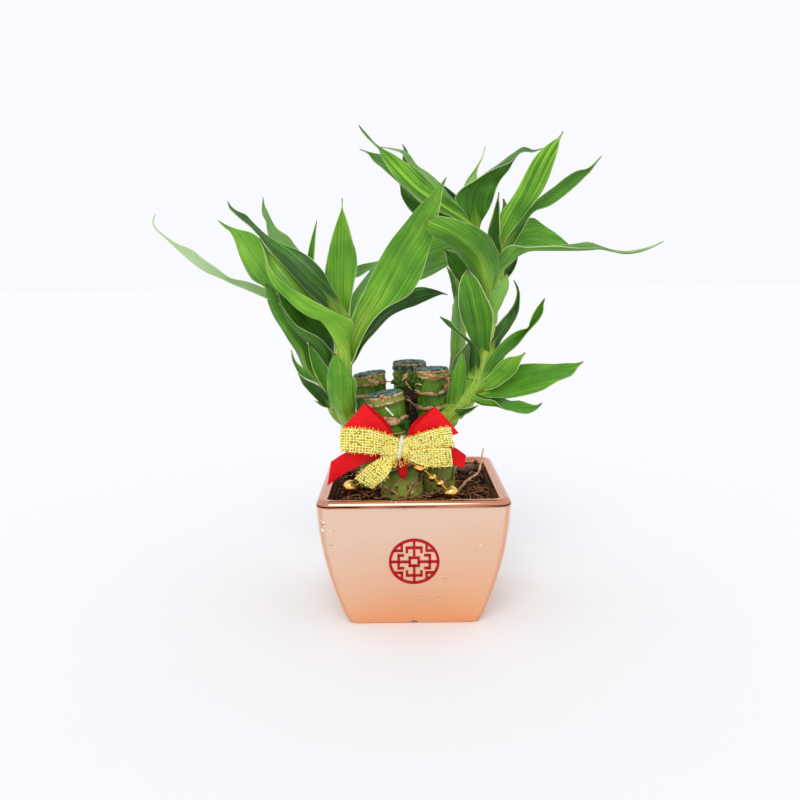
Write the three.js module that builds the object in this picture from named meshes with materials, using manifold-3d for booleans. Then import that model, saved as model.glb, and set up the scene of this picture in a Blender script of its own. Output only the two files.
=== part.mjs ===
// A lucky bamboo in a square ceramic pot, in millimetres, +Z up, front towards -Y.
// The origin is the middle of the pot's underside.
import * as THREE from 'three';
import { mergeVertices } from 'three/addons/utils/BufferGeometryUtils.js';
import Module from 'manifold-3d';

const wasm = await Module();
wasm.setup();

// Driving dimensions
const FIT_GAP = 0.3;

const POT_HEIGHT = 70;
const POT_RIM_HALF = 49;
const POT_FOOT_HALF = 35.5;
const POT_FLARE = 1.85;
const POT_CORNER = 8;
const POT_WALL = 5;
const POT_FLOOR = 6;
const POT_EDGE = 1;

const ROUNDEL_RADIUS = 12.8;
const ROUNDEL_HEIGHT = 37.6;
const ROUNDEL_THICKNESS = 1;
const ROUNDEL_RING = 1.4;

const SOIL_TOP = 63.4;
const SOIL_BUMP = 0.5;

const CANE_FOOT = 50;
const CANE_NODE_BULGE = 0.55;
const CANE_SIDES = 12;
const CANE_CLEARANCE = CANE_NODE_BULGE + FIT_GAP;
const WAX_THICKNESS = 1.4;

const BLADE_THICKNESS = 0.8;
const BLADE_TIP_HALF = 0.45;
const BLADE_WIDEST = 0.38;
const BLADE_ROOT_SHARE = 0.65;
const BLADE_STEPS = 6;
const NARROW_BLADE = 12.5;

const RIBBON_THICKNESS = 0.8;
const WIRE_RADIUS = 0.5;
const TIE_THICKNESS = 0.8;
const TIE_HEIGHT = 87.6;
const ROOT_RADIUS = 0.7;

// Canes: the middle of each at the soil line (z = 64.5) and at its waxed top, and its rings
const SOIL_LINE = 64.5;
const CANES = {
  front_left: { radius: 10.5, foot: [-5.7, -12.5], top: [-15.2, -12, 118.9], rings: [3.4, 13.5, 27, 38, 48] },
  back_left: { radius: 9.1, foot: [-19.5, 9], top: [-23.3, 9, 127.1], rings: [4.4, 11, 24, 40, 54] },
  back_middle: { radius: 9.2, foot: [-0.8, 14.5], top: [-0.8, 14.5, 132.7], rings: [6, 19, 33, 47, 60] },
  right: { radius: 9.4, foot: [13, -1.2], top: [10.5, -1.2, 130.6], rings: [3, 11, 19, 34, 50] },
};

// Which way a blade's upper side looks
const FRONT = [0, -1, 0.25];
const FRONT_LEFT = [-0.5, -1, 0.2];
const FRONT_RIGHT = [0.5, -1, 0.2];
const FRONT_UP = [0, -0.8, 0.7];
const UP = [0, -0.3, 1];
const UP_RIGHT = [0.6, -0.3, 0.7];
const BACK = [0.2, 1, 0.2];

// Leafy shoots: the route of each stem, and its leaves from root to tip
const SHOOTS = {
  left_front: {
    stem: [[-19, -12, 95], [-30, -13, 101], [-35, -14, 111], [-35, -15, 124], [-34, -15, 140],
      [-35, -14, 161]],
    radius: [5, 3.4],
    leaves: [
      { path: [[-34, -15, 106], [-37, -21, 124], [-40, -24, 141]], width: 14, face: FRONT_LEFT },
      {
        path: [[-35, -15, 133], [-41, -17, 152], [-58, -14, 176], [-78, -4, 199]],
        width: 15, face: FRONT_UP,
      },
      { path: [[-35, -14, 150], [-58, -4, 187], [-97, 10, 220]], width: 16, face: FRONT_UP },
      { path: [[-35, -14, 155], [-36, -13, 189], [-34, -22, 219]], width: 16, face: FRONT },
      { path: [[-34, -15, 134], [-13, -26, 173], [17, -40, 225]], width: 24, face: FRONT_LEFT, tip: FRONT },
      { path: [[-33, -14, 133], [-18, -6, 154], [-3, 4, 167], [20, 12, 169]], width: 9, face: FRONT_UP },
      { path: [[-34, -14, 147], [-30, -8, 170], [-20, -3, 188]], width: 8, face: FRONT_LEFT },
      { path: [[-35, -13, 156], [-48, 8, 183], [-51, 22, 211]], width: 7, face: UP_RIGHT },
      { path: [[-36, -12, 155], [-64, 14, 188], [-81, 28, 224]], width: 13, face: FRONT_UP },
    ],
  },
  left_back: {
    stem: [[-26, 8, 96], [-35, 6, 100], [-42, 4, 108], [-49, 4, 123], [-57, 5, 143], [-62, 6, 158]],
    radius: [4.6, 2.8],
    leaves: [
      { path: [[-43, 4, 107], [-48, 2, 110], [-53, 0, 113]], width: 6, face: UP },
      { path: [[-43, 4, 108], [-52, 1, 116], [-61, -4, 129]], width: 7, face: UP },
      { path: [[-53, 5, 123], [-60, 9, 129], [-67, 14, 140]], width: 6, face: UP_RIGHT },
      { path: [[-43, 4, 107], [-50, -2, 131], [-58, -6, 157], [-66, -4, 172]], width: 13, face: FRONT },
      { path: [[-52, 4, 123], [-67, 4, 149], [-79, 8, 174]], width: 11, face: FRONT_UP },
      { path: [[-47, 4, 121], [-56, -6, 149], [-69, -14, 173]], width: 12, face: FRONT_RIGHT },
      { path: [[-58, 6, 147], [-82, 16, 171], [-115, 24, 187], [-145, 32, 213]], width: 9, face: FRONT_UP },
      { path: [[-60, 6, 148], [-85, 14, 193], [-105, 20, 211]], width: 13, face: FRONT_UP },
    ],
  },
  right_front: {
    stem: [[14, -4, 99], [22, -8, 107], [30, -9, 118], [37, -8, 131], [40, -7, 148], [42, -6, 166],
      [46, -3, 192]],
    radius: [4.8, 3],
    leaves: [
      { path: [[22, -9, 108], [24, -17, 123], [26, -24, 141]], width: 9, face: FRONT_LEFT },
      { path: [[31, -9, 116], [50, -18, 114], [66, -28, 115]], width: 11, face: FRONT_UP },
      { path: [[32, -9, 118], [59, -17, 125], [87, -28, 136]], width: 16, face: FRONT_UP },
      { path: [[34, -9, 121], [47, -19, 129], [57, -30, 141]], width: 10, face: FRONT_LEFT },
      { path: [[36, -8, 122], [52, -5, 140], [63, -4, 153], [71, -4, 167]], width: 12, face: FRONT_LEFT },
      { path: [[38, -8, 135], [52, -1, 151], [58, 4, 167], [56, 6, 177]], width: 9, face: FRONT_LEFT },
      { path: [[37, -9, 128], [30, -18, 144], [14, -26, 159]], width: 7, face: UP_RIGHT },
      { path: [[38, -8, 136], [33, -20, 160], [27, -28, 183]], width: 17, face: FRONT },
      { path: [[41, -7, 152], [47, -2, 167], [52, 2, 181]], width: 9, face: FRONT_LEFT },
      {
        path: [[42, -6, 162], [38, -16, 186], [28, -22, 199], [14, -22, 205], [7, -17, 203], [9, -11, 196]],
        width: 19, face: BACK, tip: [0.8, 0.3, -0.4],
      },
      {
        path: [[44, -5, 176], [58, -10, 191], [86, -16, 194], [108, -20, 191], [126, -24, 195]],
        width: 14, face: FRONT_UP,
      },
      { path: [[45, -4, 181], [67, 6, 200], [90, 14, 193]], width: 15, face: FRONT_UP },
      { path: [[45, -4, 185], [61, -10, 222], [77, -16, 250]], width: 13, face: FRONT_LEFT },
      { path: [[45, -4, 185], [64, 6, 211], [84, 14, 224], [105, 20, 243]], width: 10, face: FRONT_LEFT },
      { path: [[45, -4, 186], [42, -10, 205], [45, -14, 221]], width: 8, face: FRONT_RIGHT },
      { path: [[46, -3, 188], [51, 6, 207], [50, 12, 222]], width: 8, face: FRONT_LEFT },
      { path: [[42, -6, 169], [51, 2, 182], [58, 8, 189]], width: 8, face: FRONT_LEFT },
    ],
  },
  right_back: {
    stem: [[4, 15, 102], [14, 15, 107], [21, 13, 117], [23, 13, 136], [24, 13, 155], [25, 14, 174],
      [28, 15, 191], [34, 16, 203]],
    radius: [3.9, 2.8],
    leaves: [
      { path: [[32, 16, 199], [8, 8, 225], [-26, 0, 257]], width: 12, face: FRONT_UP },
      { path: [[32, 16, 199], [1, 18, 227], [-27, 22, 248]], width: 10, face: FRONT_UP },
      { path: [[30, 16, 193], [9, 28, 213], [-6, 36, 231]], width: 12, face: FRONT_UP },
      { path: [[32, 16, 199], [11, 28, 227], [-3, 40, 253]], width: 8, face: FRONT_UP },
      { path: [[32, 16, 199], [17, 20, 227], [2, 24, 242], [-18, 28, 250]], width: 9, face: FRONT_UP },
      { path: [[33, 16, 200], [37, 12, 222], [52, 8, 240], [70, 4, 245]], width: 20, face: FRONT },
      { path: [[33, 16, 200], [35, 30, 229], [44, 42, 251]], width: 12, face: FRONT },
      { path: [[28, 15, 189], [14, 12, 189], [-7, 8, 183], [-31, 6, 180]], width: 13, face: FRONT_UP },
      { path: [[25, 14, 172], [24, 7, 183], [18, 2, 193]], width: 8, face: FRONT_RIGHT },
      { path: [[25, 14, 165], [22, 6, 176], [18, 0, 185]], width: 7, face: FRONT_RIGHT },
      { path: [[22, 13, 119], [23, 4, 131], [28, 2, 146]], width: 9, face: FRONT },
    ],
  },
};

// Ribbons: the lower and upper edge of each stretch, from the tie outwards
const RED_RIBBON = [
  {
    lower: [[-6, -26, 95.3], [-9, -26.5, 95.5], [-22, -31, 102], [-31, -31, 105], [-37, -28, 105],
      [-33, -25, 104], [-23, -24, 100], [-9, -25, 95.5], [-6, -25, 95.3]],
    upper: [[-6, -26, 99.3], [-9, -26.5, 99.5], [-16, -30, 109], [-22, -30, 115], [-25, -27, 118],
      [-21, -25, 115], [-14, -25, 108], [-9, -25, 99.5], [-6, -25, 99.3]],
  },
  {
    lower: [[-7, -26, 95.3], [-4, -26.5, 95.5], [9, -31, 100], [17, -31, 101], [23, -27, 102],
      [18, -23, 101], [8, -22, 97], [-4, -25, 95.5], [-7, -25, 95.3]],
    upper: [[-7, -26, 99.3], [-4, -26.5, 99.5], [2, -31, 108], [8, -31, 114], [11, -27, 116], [6, -23, 112],
      [-1, -23, 106], [-4, -25, 99.5], [-7, -25, 99.3]],
  },
  {
    lower: [[-6, -25.5, 90.4], [-21, -30, 89], [-35, -33, 83], [-44, -38, 78]],
    upper: [[-6, -25.5, 94.5], [-21, -30, 95], [-34, -33, 94], [-42, -37, 90]],
  },
  {
    lower: [[-7, -25.5, 90.4], [7, -28, 88], [19, -28, 86], [26, -26, 83]],
    upper: [[-7, -25.5, 94.5], [8, -28, 95], [20, -28, 95], [27, -26, 90]],
  },
];
const RED_STRIP = { top: [-3.8, -25.2, 94], bottom: [-4.4, -26, 79], width: 3.4 };
const RED_GATHER = { size: [5, 2.6, 10], middle: [-6.6, -25.4, 94.9] };
const GOLD_RIBBON = [
  {
    lower: [[-6, -29.6, 92], [-9, -30, 92], [-22, -35.5, 94], [-32, -35.5, 95], [-37, -34, 95],
      [-32, -32.8, 95], [-22, -32.6, 94], [-6, -29.1, 92]],
    upper: [[-6, -29.6, 98.8], [-9, -30, 99], [-22, -35.5, 105], [-32, -35.5, 106], [-37, -34, 106],
      [-32, -32.8, 106], [-22, -32.6, 105], [-6, -29.1, 98.8]],
  },
  {
    lower: [[-7, -29.6, 93], [-5, -30, 93], [8, -35.5, 96], [16, -35.5, 97], [20, -34, 97], [16, -32.8, 97],
      [8, -32.6, 96], [-7, -29.1, 93]],
    upper: [[-7, -29.6, 98.6], [-5, -30, 99], [7, -35.5, 104], [15, -35.5, 106], [18, -34, 106],
      [15, -32.8, 106], [7, -32.6, 104], [-7, -29.1, 98.6]],
  },
  {
    lower: [[-7, -29.5, 91.3], [-4.5, -30, 90], [8, -36, 87], [19, -35, 87]],
    upper: [[-7, -29.5, 92.8], [-4.5, -30, 93], [8, -38, 96], [18, -37, 96]],
  },
  {
    lower: [[-6, -29.5, 91.5], [-9.5, -30, 90], [-14, -34, 82], [-22, -34, 75]],
    upper: [[-6, -29.5, 96], [-10, -30, 94], [-24, -34, 86], [-30, -34, 80]],
  },
];
const GOLD_GATHER = { size: [5, 1.8, 8.4], middle: [-6.6, -29.4, 95.1] };

// Beads on stiff wires: the route of each wire, and its beads by place and radius
const BEAD_WIRES = {
  left: {
    route: [[-8.8, -27.4, 88], [-18, -26, 82], [-28, -19, 74], [-35, -11, 68.6], [-38, -7.6, 66.4]],
    beads: { left: [[-35, -11, 68.6], 4] },
  },
  right: {
    route: [[-5.2, -27.4, 88], [4, -28, 84], [10, -26, 78], [14, -24, 74.6], [20, -22, 68.6],
      [23.2, -21, 65.4]],
    beads: {
      right_top: [[4, -28, 84], 3.5],
      right_upper_small: [[10, -26, 78], 2],
      right_lower_small: [[14, -24, 74.6], 2],
      right_bottom: [[20, -22, 68.6], 4],
    },
  },
};

const ROOT_HOLE_FOOT = [22, -12, 55];
const ROOT_ROUTE = [[22, -12, 56], [25, -14, 66], [30, -15, 72], [35, -15, 76], [37, -14, 82], [38, -12, 88]];
const HUSK = { path: [[3, 3.5, 131], [-4, 4, 129], [-10, 4, 124]], width: 5, face: FRONT_UP };

function vector(values) {
  return new THREE.Vector3(...values);
}

function smoothCurve(route) {
  return new THREE.CatmullRomCurve3(route.map(vector), false, 'centripetal');
}

function toSolid(geometry) {
  const bare = new THREE.BufferGeometry();
  bare.setAttribute('position', geometry.getAttribute('position'));
  bare.setIndex(geometry.index);
  const merged = mergeVertices(bare);
  const corners = merged.index.array;
  const kept = [];
  for (let k = 0; k < corners.length; k += 3) {
    const [a, b, c] = corners.slice(k, k + 3);
    if (a !== b && b !== c && c !== a) {
      kept.push(a, b, c);
    }
  }
  const vertProperties = new Float32Array(merged.getAttribute('position').array);
  const triVerts = new Uint32Array(kept);
  return new wasm.Manifold(new wasm.Mesh({ numProp: 3, vertProperties, triVerts }));
}

function toGeometry(solid) {
  const mesh = solid.getMesh();
  const geometry = new THREE.BufferGeometry();
  geometry.setAttribute('position', new THREE.BufferAttribute(mesh.vertProperties, 3));
  geometry.setIndex(new THREE.BufferAttribute(mesh.triVerts, 1));
  geometry.computeVertexNormals();
  return geometry;
}

// A closed skin of triangles, turned so that its faces point out
function closedSolid(points, triangles) {
  let volume = 0;
  for (let k = 0; k < triangles.length; k += 3) {
    const [a, b, c] = triangles.slice(k, k + 3).map((corner) => points[corner]);
    volume += a.dot(new THREE.Vector3().crossVectors(b, c));
  }
  const outward = volume < 0 ? triangles.toReversed() : triangles;
  const geometry = new THREE.BufferGeometry().setFromPoints(points);
  geometry.setIndex(outward);
  return toSolid(geometry);
}

// A solid through rings of points, each with the same count, with both ends capped
function ringSolid(rings) {
  const count = rings[0].length;
  const points = rings.flat();
  const triangles = [];
  for (let first = 0; first + count < points.length; first += count) {
    for (let k = 0; k < count; k += 1) {
      const a = first + k;
      const b = first + (k + 1) % count;
      triangles.push(a, b, b + count, a, b + count, a + count);
    }
  }
  const lastRing = points.length - count;
  for (const [first, turn] of [[0, 1], [lastRing, 0]]) {
    const middle = new THREE.Vector3();
    for (let k = 0; k < count; k += 1) {
      middle.addScaledVector(points[first + k], 1 / count);
    }
    const centre = points.push(middle) - 1;
    for (let k = 0; k < count; k += 1) {
      const pair = [first + k, first + (k + 1) % count];
      triangles.push(centre, pair[turn], pair[1 - turn]);
    }
  }
  return closedSolid(points, triangles);
}

// A sheet of even thickness about a grid of points, split alike on both faces
function sheetSolid(rows, thickness) {
  const along = rows.length;
  const across = rows[0].length;
  const within = (k, count) => THREE.MathUtils.clamp(k, 0, count - 1);
  const place = (i, j) => rows[within(i, along)][within(j, across)];
  const upper = [];
  const lower = [];
  for (let i = 0; i < along; i += 1) {
    for (let j = 0; j < across; j += 1) {
      const lengthwise = new THREE.Vector3().subVectors(place(i + 1, j), place(i - 1, j));
      const crosswise = new THREE.Vector3().subVectors(place(i, j + 1), place(i, j - 1));
      const offset = lengthwise.cross(crosswise).setLength(thickness / 2);
      upper.push(place(i, j).clone().add(offset));
      lower.push(place(i, j).clone().sub(offset));
    }
  }
  const under = upper.length;
  const triangles = [];
  for (let i = 0; i + 1 < along; i += 1) {
    for (let j = 0; j + 1 < across; j += 1) {
      const a = i * across + j;
      const b = a + 1;
      const c = b + across;
      const d = a + across;
      triangles.push(a, b, c, a, c, d);
      triangles.push(under + a, under + c, under + b, under + a, under + d, under + c);
    }
  }
  const border = [];
  for (let j = 0; j < across; j += 1) {
    border.push(j);
  }
  for (let i = 1; i < along; i += 1) {
    border.push(i * across + across - 1);
  }
  for (let j = across - 2; j >= 0; j -= 1) {
    border.push((along - 1) * across + j);
  }
  for (let i = along - 2; i > 0; i -= 1) {
    border.push(i * across);
  }
  border.forEach((p, k) => {
    const q = border[(k + 1) % border.length];
    triangles.push(q, p, under + p, q, under + p, under + q);
  });
  return closedSolid([...upper, ...lower], triangles);
}

function unite(solids) {
  return solids.reduce((whole, solid) => whole.add(solid));
}

// The largest body left by a cut, without loose scraps
function largestBody(solid) {
  return solid.decompose().reduce((best, body) => (body.volume() > best.volume() ? body : best));
}

function tubeSolid(route, radius, sides, steps) {
  const section = new THREE.Shape(
    Array.from({ length: sides }, (_, k) => {
      const angle = k / sides * Math.PI * 2;
      return new THREE.Vector2(Math.cos(angle) * radius, Math.sin(angle) * radius);
    }),
  );
  const settings = { steps, extrudePath: smoothCurve(route), bevelEnabled: false };
  return toSolid(new THREE.ExtrudeGeometry(section, settings));
}

// Half the pot's width across the flats at a height
function potHalf(height) {
  const share = 1 - (1 - height / POT_HEIGHT) ** POT_FLARE;
  return THREE.MathUtils.lerp(POT_FOOT_HALF, POT_RIM_HALF, share);
}

function roundedSquare(half, corner, height) {
  const arcSteps = 3;
  const ring = [];
  for (let quarter = 0; quarter < 4; quarter += 1) {
    for (let step = 0; step <= arcSteps; step += 1) {
      const angle = step / arcSteps * Math.PI / 2;
      const reach = half - corner;
      const point = new THREE.Vector2(reach + corner * Math.cos(angle), reach + corner * Math.sin(angle));
      point.rotateAround(new THREE.Vector2(), quarter * Math.PI / 2);
      ring.push(new THREE.Vector3(point.x, point.y, height));
    }
  }
  return ring;
}

const POT_STATIONS = [4, 12, 20, 28, 36, 44, 52, 61];

function potSolid() {
  const innerCorner = POT_CORNER - POT_WALL + 1;
  const inside = (height) => roundedSquare(potHalf(height) - POT_WALL, innerCorner, height);
  return ringSolid([
    roundedSquare(POT_FOOT_HALF - POT_EDGE, POT_CORNER - POT_EDGE, 0),
    roundedSquare(potHalf(POT_EDGE), POT_CORNER, POT_EDGE),
    ...POT_STATIONS.map((height) => roundedSquare(potHalf(height), POT_CORNER, height)),
    roundedSquare(POT_RIM_HALF, POT_CORNER, POT_HEIGHT - POT_EDGE),
    roundedSquare(POT_RIM_HALF - POT_EDGE, POT_CORNER - POT_EDGE, POT_HEIGHT),
    roundedSquare(POT_RIM_HALF - POT_WALL + POT_EDGE, innerCorner + POT_EDGE, POT_HEIGHT),
    roundedSquare(POT_RIM_HALF - POT_WALL, innerCorner, POT_HEIGHT - POT_EDGE),
    ...POT_STATIONS.toReversed().slice(0, -1).map(inside),
    inside(POT_FLOOR),
  ]);
}

// The pot's outer form between the stations beside the roundel, made larger by an offset
function potBlank(offset) {
  const stations = POT_STATIONS.slice(1, -1);
  return ringSolid(stations.map((height) => roundedSquare(potHalf(height) + offset, POT_CORNER, height)));
}

// A box from corner to corner in the roundel's plane, deep enough to cross the pot's front
function fretBar(left, low, right, high) {
  const depth = 20;
  const box = new THREE.BoxGeometry(right - left, depth, high - low);
  return toSolid(box.translate((left + right) / 2, 0, (low + high) / 2));
}

// A pierced plate that follows the front of the pot: a ring round a square lattice
function roundelSolid() {
  const ringShape = new THREE.Shape().absarc(0, 0, ROUNDEL_RADIUS, 0, Math.PI * 2);
  ringShape.holes.push(new THREE.Path().absarc(0, 0, ROUNDEL_RADIUS - ROUNDEL_RING, 0, Math.PI * 2, true));
  const ring = new THREE.ExtrudeGeometry(ringShape, { depth: 20, bevelEnabled: false, curveSegments: 12 });
  ring.translate(0, 0, -10).rotateX(Math.PI / 2);
  const quarter = unite([
    fretBar(-0.65, 1.6, 0.65, 12),
    fretBar(-2.9, 1.6, 2.9, 2.9),
    fretBar(-4.3, 7.2, 4.3, 8.5),
    fretBar(-4.3, 5, -3, 8),
    fretBar(3, 5, 4.3, 8),
    fretBar(5.6, 5.6, 6.9, 10),
    fretBar(5.6, 5.6, 10, 6.9),
  ]);
  const turns = [0, 90, 180, 270].map((angle) => quarter.rotate([0, angle, 0]));
  const lattice = unite([toSolid(ring), ...turns]).translate([0, -potHalf(ROUNDEL_HEIGHT), ROUNDEL_HEIGHT]);
  const plate = potBlank(FIT_GAP + ROUNDEL_THICKNESS).subtract(potBlank(FIT_GAP));
  return largestBody(plate.intersect(lattice));
}

// A cane's axis: where it is at a height, and the turn from upright
function caneAxis({ foot, top }) {
  const low = new THREE.Vector3(...foot, SOIL_LINE);
  const high = vector(top);
  const direction = new THREE.Vector3().subVectors(high, low).normalize();
  const at = (height) => high.clone().addScaledVector(direction, (height - high.z) / direction.z);
  return { at, high, turn: new THREE.Quaternion().setFromUnitVectors(new THREE.Vector3(0, 0, 1), direction) };
}

// Turns a profile of radius and height about +Z, then sets it on a cane's axis
function turnedOnCane(cane, profile, from) {
  const geometry = new THREE.LatheGeometry(profile.map((point) => new THREE.Vector2(...point)), CANE_SIDES);
  geometry.rotateX(Math.PI / 2);
  geometry.applyQuaternion(caneAxis(cane).turn);
  geometry.translate(...from.toArray());
  return toSolid(geometry);
}

function caneSolid(cane) {
  const axis = caneAxis(cane);
  const foot = axis.at(CANE_FOOT);
  const length = axis.high.distanceTo(foot) - WAX_THICKNESS - FIT_GAP;
  const ringHalf = 1.1;
  const waist = 0.3;
  const profile = [[0, 0], [cane.radius - waist, 0]];
  for (const below of cane.rings.toReversed()) {
    const middle = length - below;
    profile.push([cane.radius - waist, middle - ringHalf * 2]);
    profile.push([cane.radius + CANE_NODE_BULGE, middle]);
    profile.push([cane.radius - waist, middle + ringHalf]);
  }
  profile.push([cane.radius - waist, length - 0.5], [cane.radius - 0.8, length], [0, length]);
  return turnedOnCane(cane, profile, foot);
}

function waxSolid(cane) {
  const base = caneAxis(cane).high;
  const rim = cane.radius - 0.4;
  const profile = [
    [0, -WAX_THICKNESS],
    [rim, -WAX_THICKNESS],
    [rim + 0.3, -WAX_THICKNESS / 2],
    [rim - 0.8, -WAX_THICKNESS / 5],
    [rim / 2, 0],
    [0, 0],
  ];
  return turnedOnCane(cane, profile, base);
}

// The room that a cane needs, larger than it all round
function caneRoom(cane, clearance) {
  const axis = caneAxis(cane);
  const start = axis.at(CANE_FOOT - FIT_GAP);
  const length = axis.high.distanceTo(start) + FIT_GAP;
  const room = cane.radius + clearance;
  return turnedOnCane(cane, [[0, 0], [room, 0], [room, length], [0, length]], start);
}

function soilHeight(x, y) {
  return SOIL_TOP + SOIL_BUMP * (Math.sin(x * 0.45) * Math.cos(y * 0.37) + 0.6 * Math.sin(x * 0.2 + y * 0.5));
}

function soilSolid() {
  const inset = POT_WALL + FIT_GAP;
  const corner = POT_CORNER - POT_WALL + 1;
  const low = POT_FLOOR + FIT_GAP;
  const walls = [low, ...POT_STATIONS.slice(1, -1)].map((height) => (
    roundedSquare(potHalf(height) - inset, corner, height)));
  const topHalf = potHalf(SOIL_TOP) - inset;
  const tops = [1, 0.86, 0.66, 0.44, 0.2].map((share) => {
    const ring = roundedSquare(topHalf * share, corner, SOIL_TOP);
    ring.forEach((point) => point.setZ(soilHeight(point.x, point.y)));
    return ring;
  });
  const holes = Object.values(CANES).map((cane) => caneRoom(cane, FIT_GAP));
  const rootHole = tubeSolid([ROOT_HOLE_FOOT, ...ROOT_ROUTE], ROOT_RADIUS + FIT_GAP, 6, 14);
  return largestBody(ringSolid([...walls, ...tops]).subtract(unite([...holes, rootHole])));
}

// The share of its full width that a blade has along its length
function bladeShare(t) {
  if (t < BLADE_WIDEST) {
    return THREE.MathUtils.lerp(BLADE_ROOT_SHARE, 1, Math.sin(t / BLADE_WIDEST * Math.PI / 2));
  }
  const taper = (t - BLADE_WIDEST) / (1 - BLADE_WIDEST);
  return (1 - taper) ** 1.2 * (1 + 1.2 * taper);
}

// Half the angle that a blade's section bends through: rolled at its root, channelled at its tip
function bladeBend(t) {
  const rolled = 0.9 * Math.max(1 - t / BLADE_WIDEST, 0) ** 2;
  return 0.45 + rolled + 0.3 * t * t;
}

function bladeSolid({ path, width, face, tip = face }) {
  const curve = smoothCurve(path);
  const across = width < NARROW_BLADE ? 2 : 4;
  const rows = [];
  for (let step = 0; step <= BLADE_STEPS; step += 1) {
    const t = step / BLADE_STEPS;
    const point = curve.getPointAt(t);
    const tangent = curve.getTangentAt(t);
    const normal = vector(face).lerp(vector(tip), t).projectOnPlane(tangent).normalize();
    const side = new THREE.Vector3().crossVectors(tangent, normal);
    const half = Math.max(width / 2 * bladeShare(t), BLADE_TIP_HALF);
    const bend = bladeBend(t);
    const row = [];
    for (let k = 0; k <= across; k += 1) {
      const angle = (k / across * 2 - 1) * bend;
      const aside = Math.sin(angle) * half / bend;
      const rise = (1 - Math.cos(angle)) * half / bend;
      row.push(point.clone().addScaledVector(side, aside).addScaledVector(normal, rise));
    }
    rows.push(row);
  }
  return sheetSolid(rows, BLADE_THICKNESS);
}

function stemSolid(route, [rootRadius, tipRadius]) {
  const sides = 8;
  const steps = route.length + 1;
  const curve = smoothCurve(route);
  const rings = [];
  for (let step = 0; step <= steps; step += 1) {
    const t = step / steps;
    const tangent = curve.getTangentAt(t);
    const side = new THREE.Vector3().crossVectors(tangent, new THREE.Vector3(0, 1, 0)).normalize();
    const other = new THREE.Vector3().crossVectors(tangent, side);
    const radius = THREE.MathUtils.lerp(rootRadius, tipRadius, t);
    const ring = [];
    for (let k = 0; k < sides; k += 1) {
      const angle = k / sides * Math.PI * 2;
      const point = curve.getPointAt(t).addScaledVector(side, Math.cos(angle) * radius);
      ring.push(point.addScaledVector(other, Math.sin(angle) * radius));
    }
    rings.push(ring);
  }
  return ringSolid(rings);
}

function shootSolid({ stem, radius, leaves }, room) {
  const grown = unite([stemSolid(stem, radius), ...leaves.map(bladeSolid)]);
  return largestBody(grown.subtract(room));
}

// A stretch of ribbon between its lower and upper edge
function ribbonSolid({ lower, upper }) {
  const low = smoothCurve(lower);
  const high = smoothCurve(upper);
  const steps = Math.min(lower.length * 2, 14);
  const rows = [];
  for (let step = 0; step <= steps; step += 1) {
    const t = step / steps;
    rows.push([low.getPoint(t), high.getPoint(t)]);
  }
  return sheetSolid(rows, RIBBON_THICKNESS);
}

function blockSolid([width, depth, height], centre) {
  return toSolid(new THREE.BoxGeometry(width, depth, height).translate(...centre));
}

// A ribbon of several stretches that meet in the gathered middle
function gatheredRibbon(stretches, { size, middle }) {
  return unite([blockSolid(size, middle), ...stretches.map(ribbonSolid)]);
}

// The short end that hangs below the red ribbon's middle
function stripEdges({ top, bottom, width }) {
  const shift = ([x, y, z], by) => [x + by, y, z];
  return {
    lower: [shift(top, -width / 2), shift(bottom, -width / 2)],
    upper: [shift(top, width / 2), shift(bottom, width / 2)],
  };
}

// The line round all the canes at a height, pulled tight: the furthest cane point each way, set off
function roundCanes(height, offset) {
  const directions = 36;
  const outline = [];
  for (let k = 0; k < directions; k += 1) {
    const angle = k / directions * Math.PI * 2;
    const way = new THREE.Vector2(Math.cos(angle), Math.sin(angle));
    const reaches = Object.values(CANES).map((cane) => {
      const centre = caneAxis(cane).at(height);
      return new THREE.Vector2(centre.x, centre.y).addScaledVector(way, cane.radius + offset);
    });
    outline.push(reaches.reduce((best, point) => (point.dot(way) > best.dot(way) ? point : best)));
  }
  return outline;
}

// A white tie: a band round the canes and a loop round the gathered ribbons
function tieSolid() {
  const bandWidth = 2;
  const inner = CANE_CLEARANCE + 0.2;
  const bandShape = new THREE.Shape(roundCanes(TIE_HEIGHT, inner + TIE_THICKNESS));
  bandShape.holes.push(new THREE.Path(roundCanes(TIE_HEIGHT, inner).toReversed()));
  const band = new THREE.ExtrudeGeometry(bandShape, { depth: bandWidth, bevelEnabled: false });
  band.translate(0, 0, TIE_HEIGHT - bandWidth / 2);
  const loopBox = { middle: -7, front: -31.5, back: -23.1, low: 88, high: 101.4 };
  const depth = loopBox.back - loopBox.front;
  const rise = loopBox.high - loopBox.low;
  const centre = [loopBox.middle, (loopBox.front + loopBox.back) / 2, (loopBox.low + loopBox.high) / 2];
  const wall = TIE_THICKNESS * 2;
  const loop = blockSolid([bandWidth, depth, rise], centre);
  const space = blockSolid([bandWidth * 2, depth - wall, rise - wall], centre);
  return unite([toSolid(band), loop.subtract(space)]);
}

function wireSolid({ route }, extra = 0) {
  return tubeSolid(route, WIRE_RADIUS + extra, 6, 12);
}

function beadSolid([centre, radius], wire) {
  const ball = new THREE.SphereGeometry(radius, 10, 6).translate(...centre);
  return largestBody(toSolid(ball).subtract(wireSolid(wire, FIT_GAP)));
}

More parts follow.
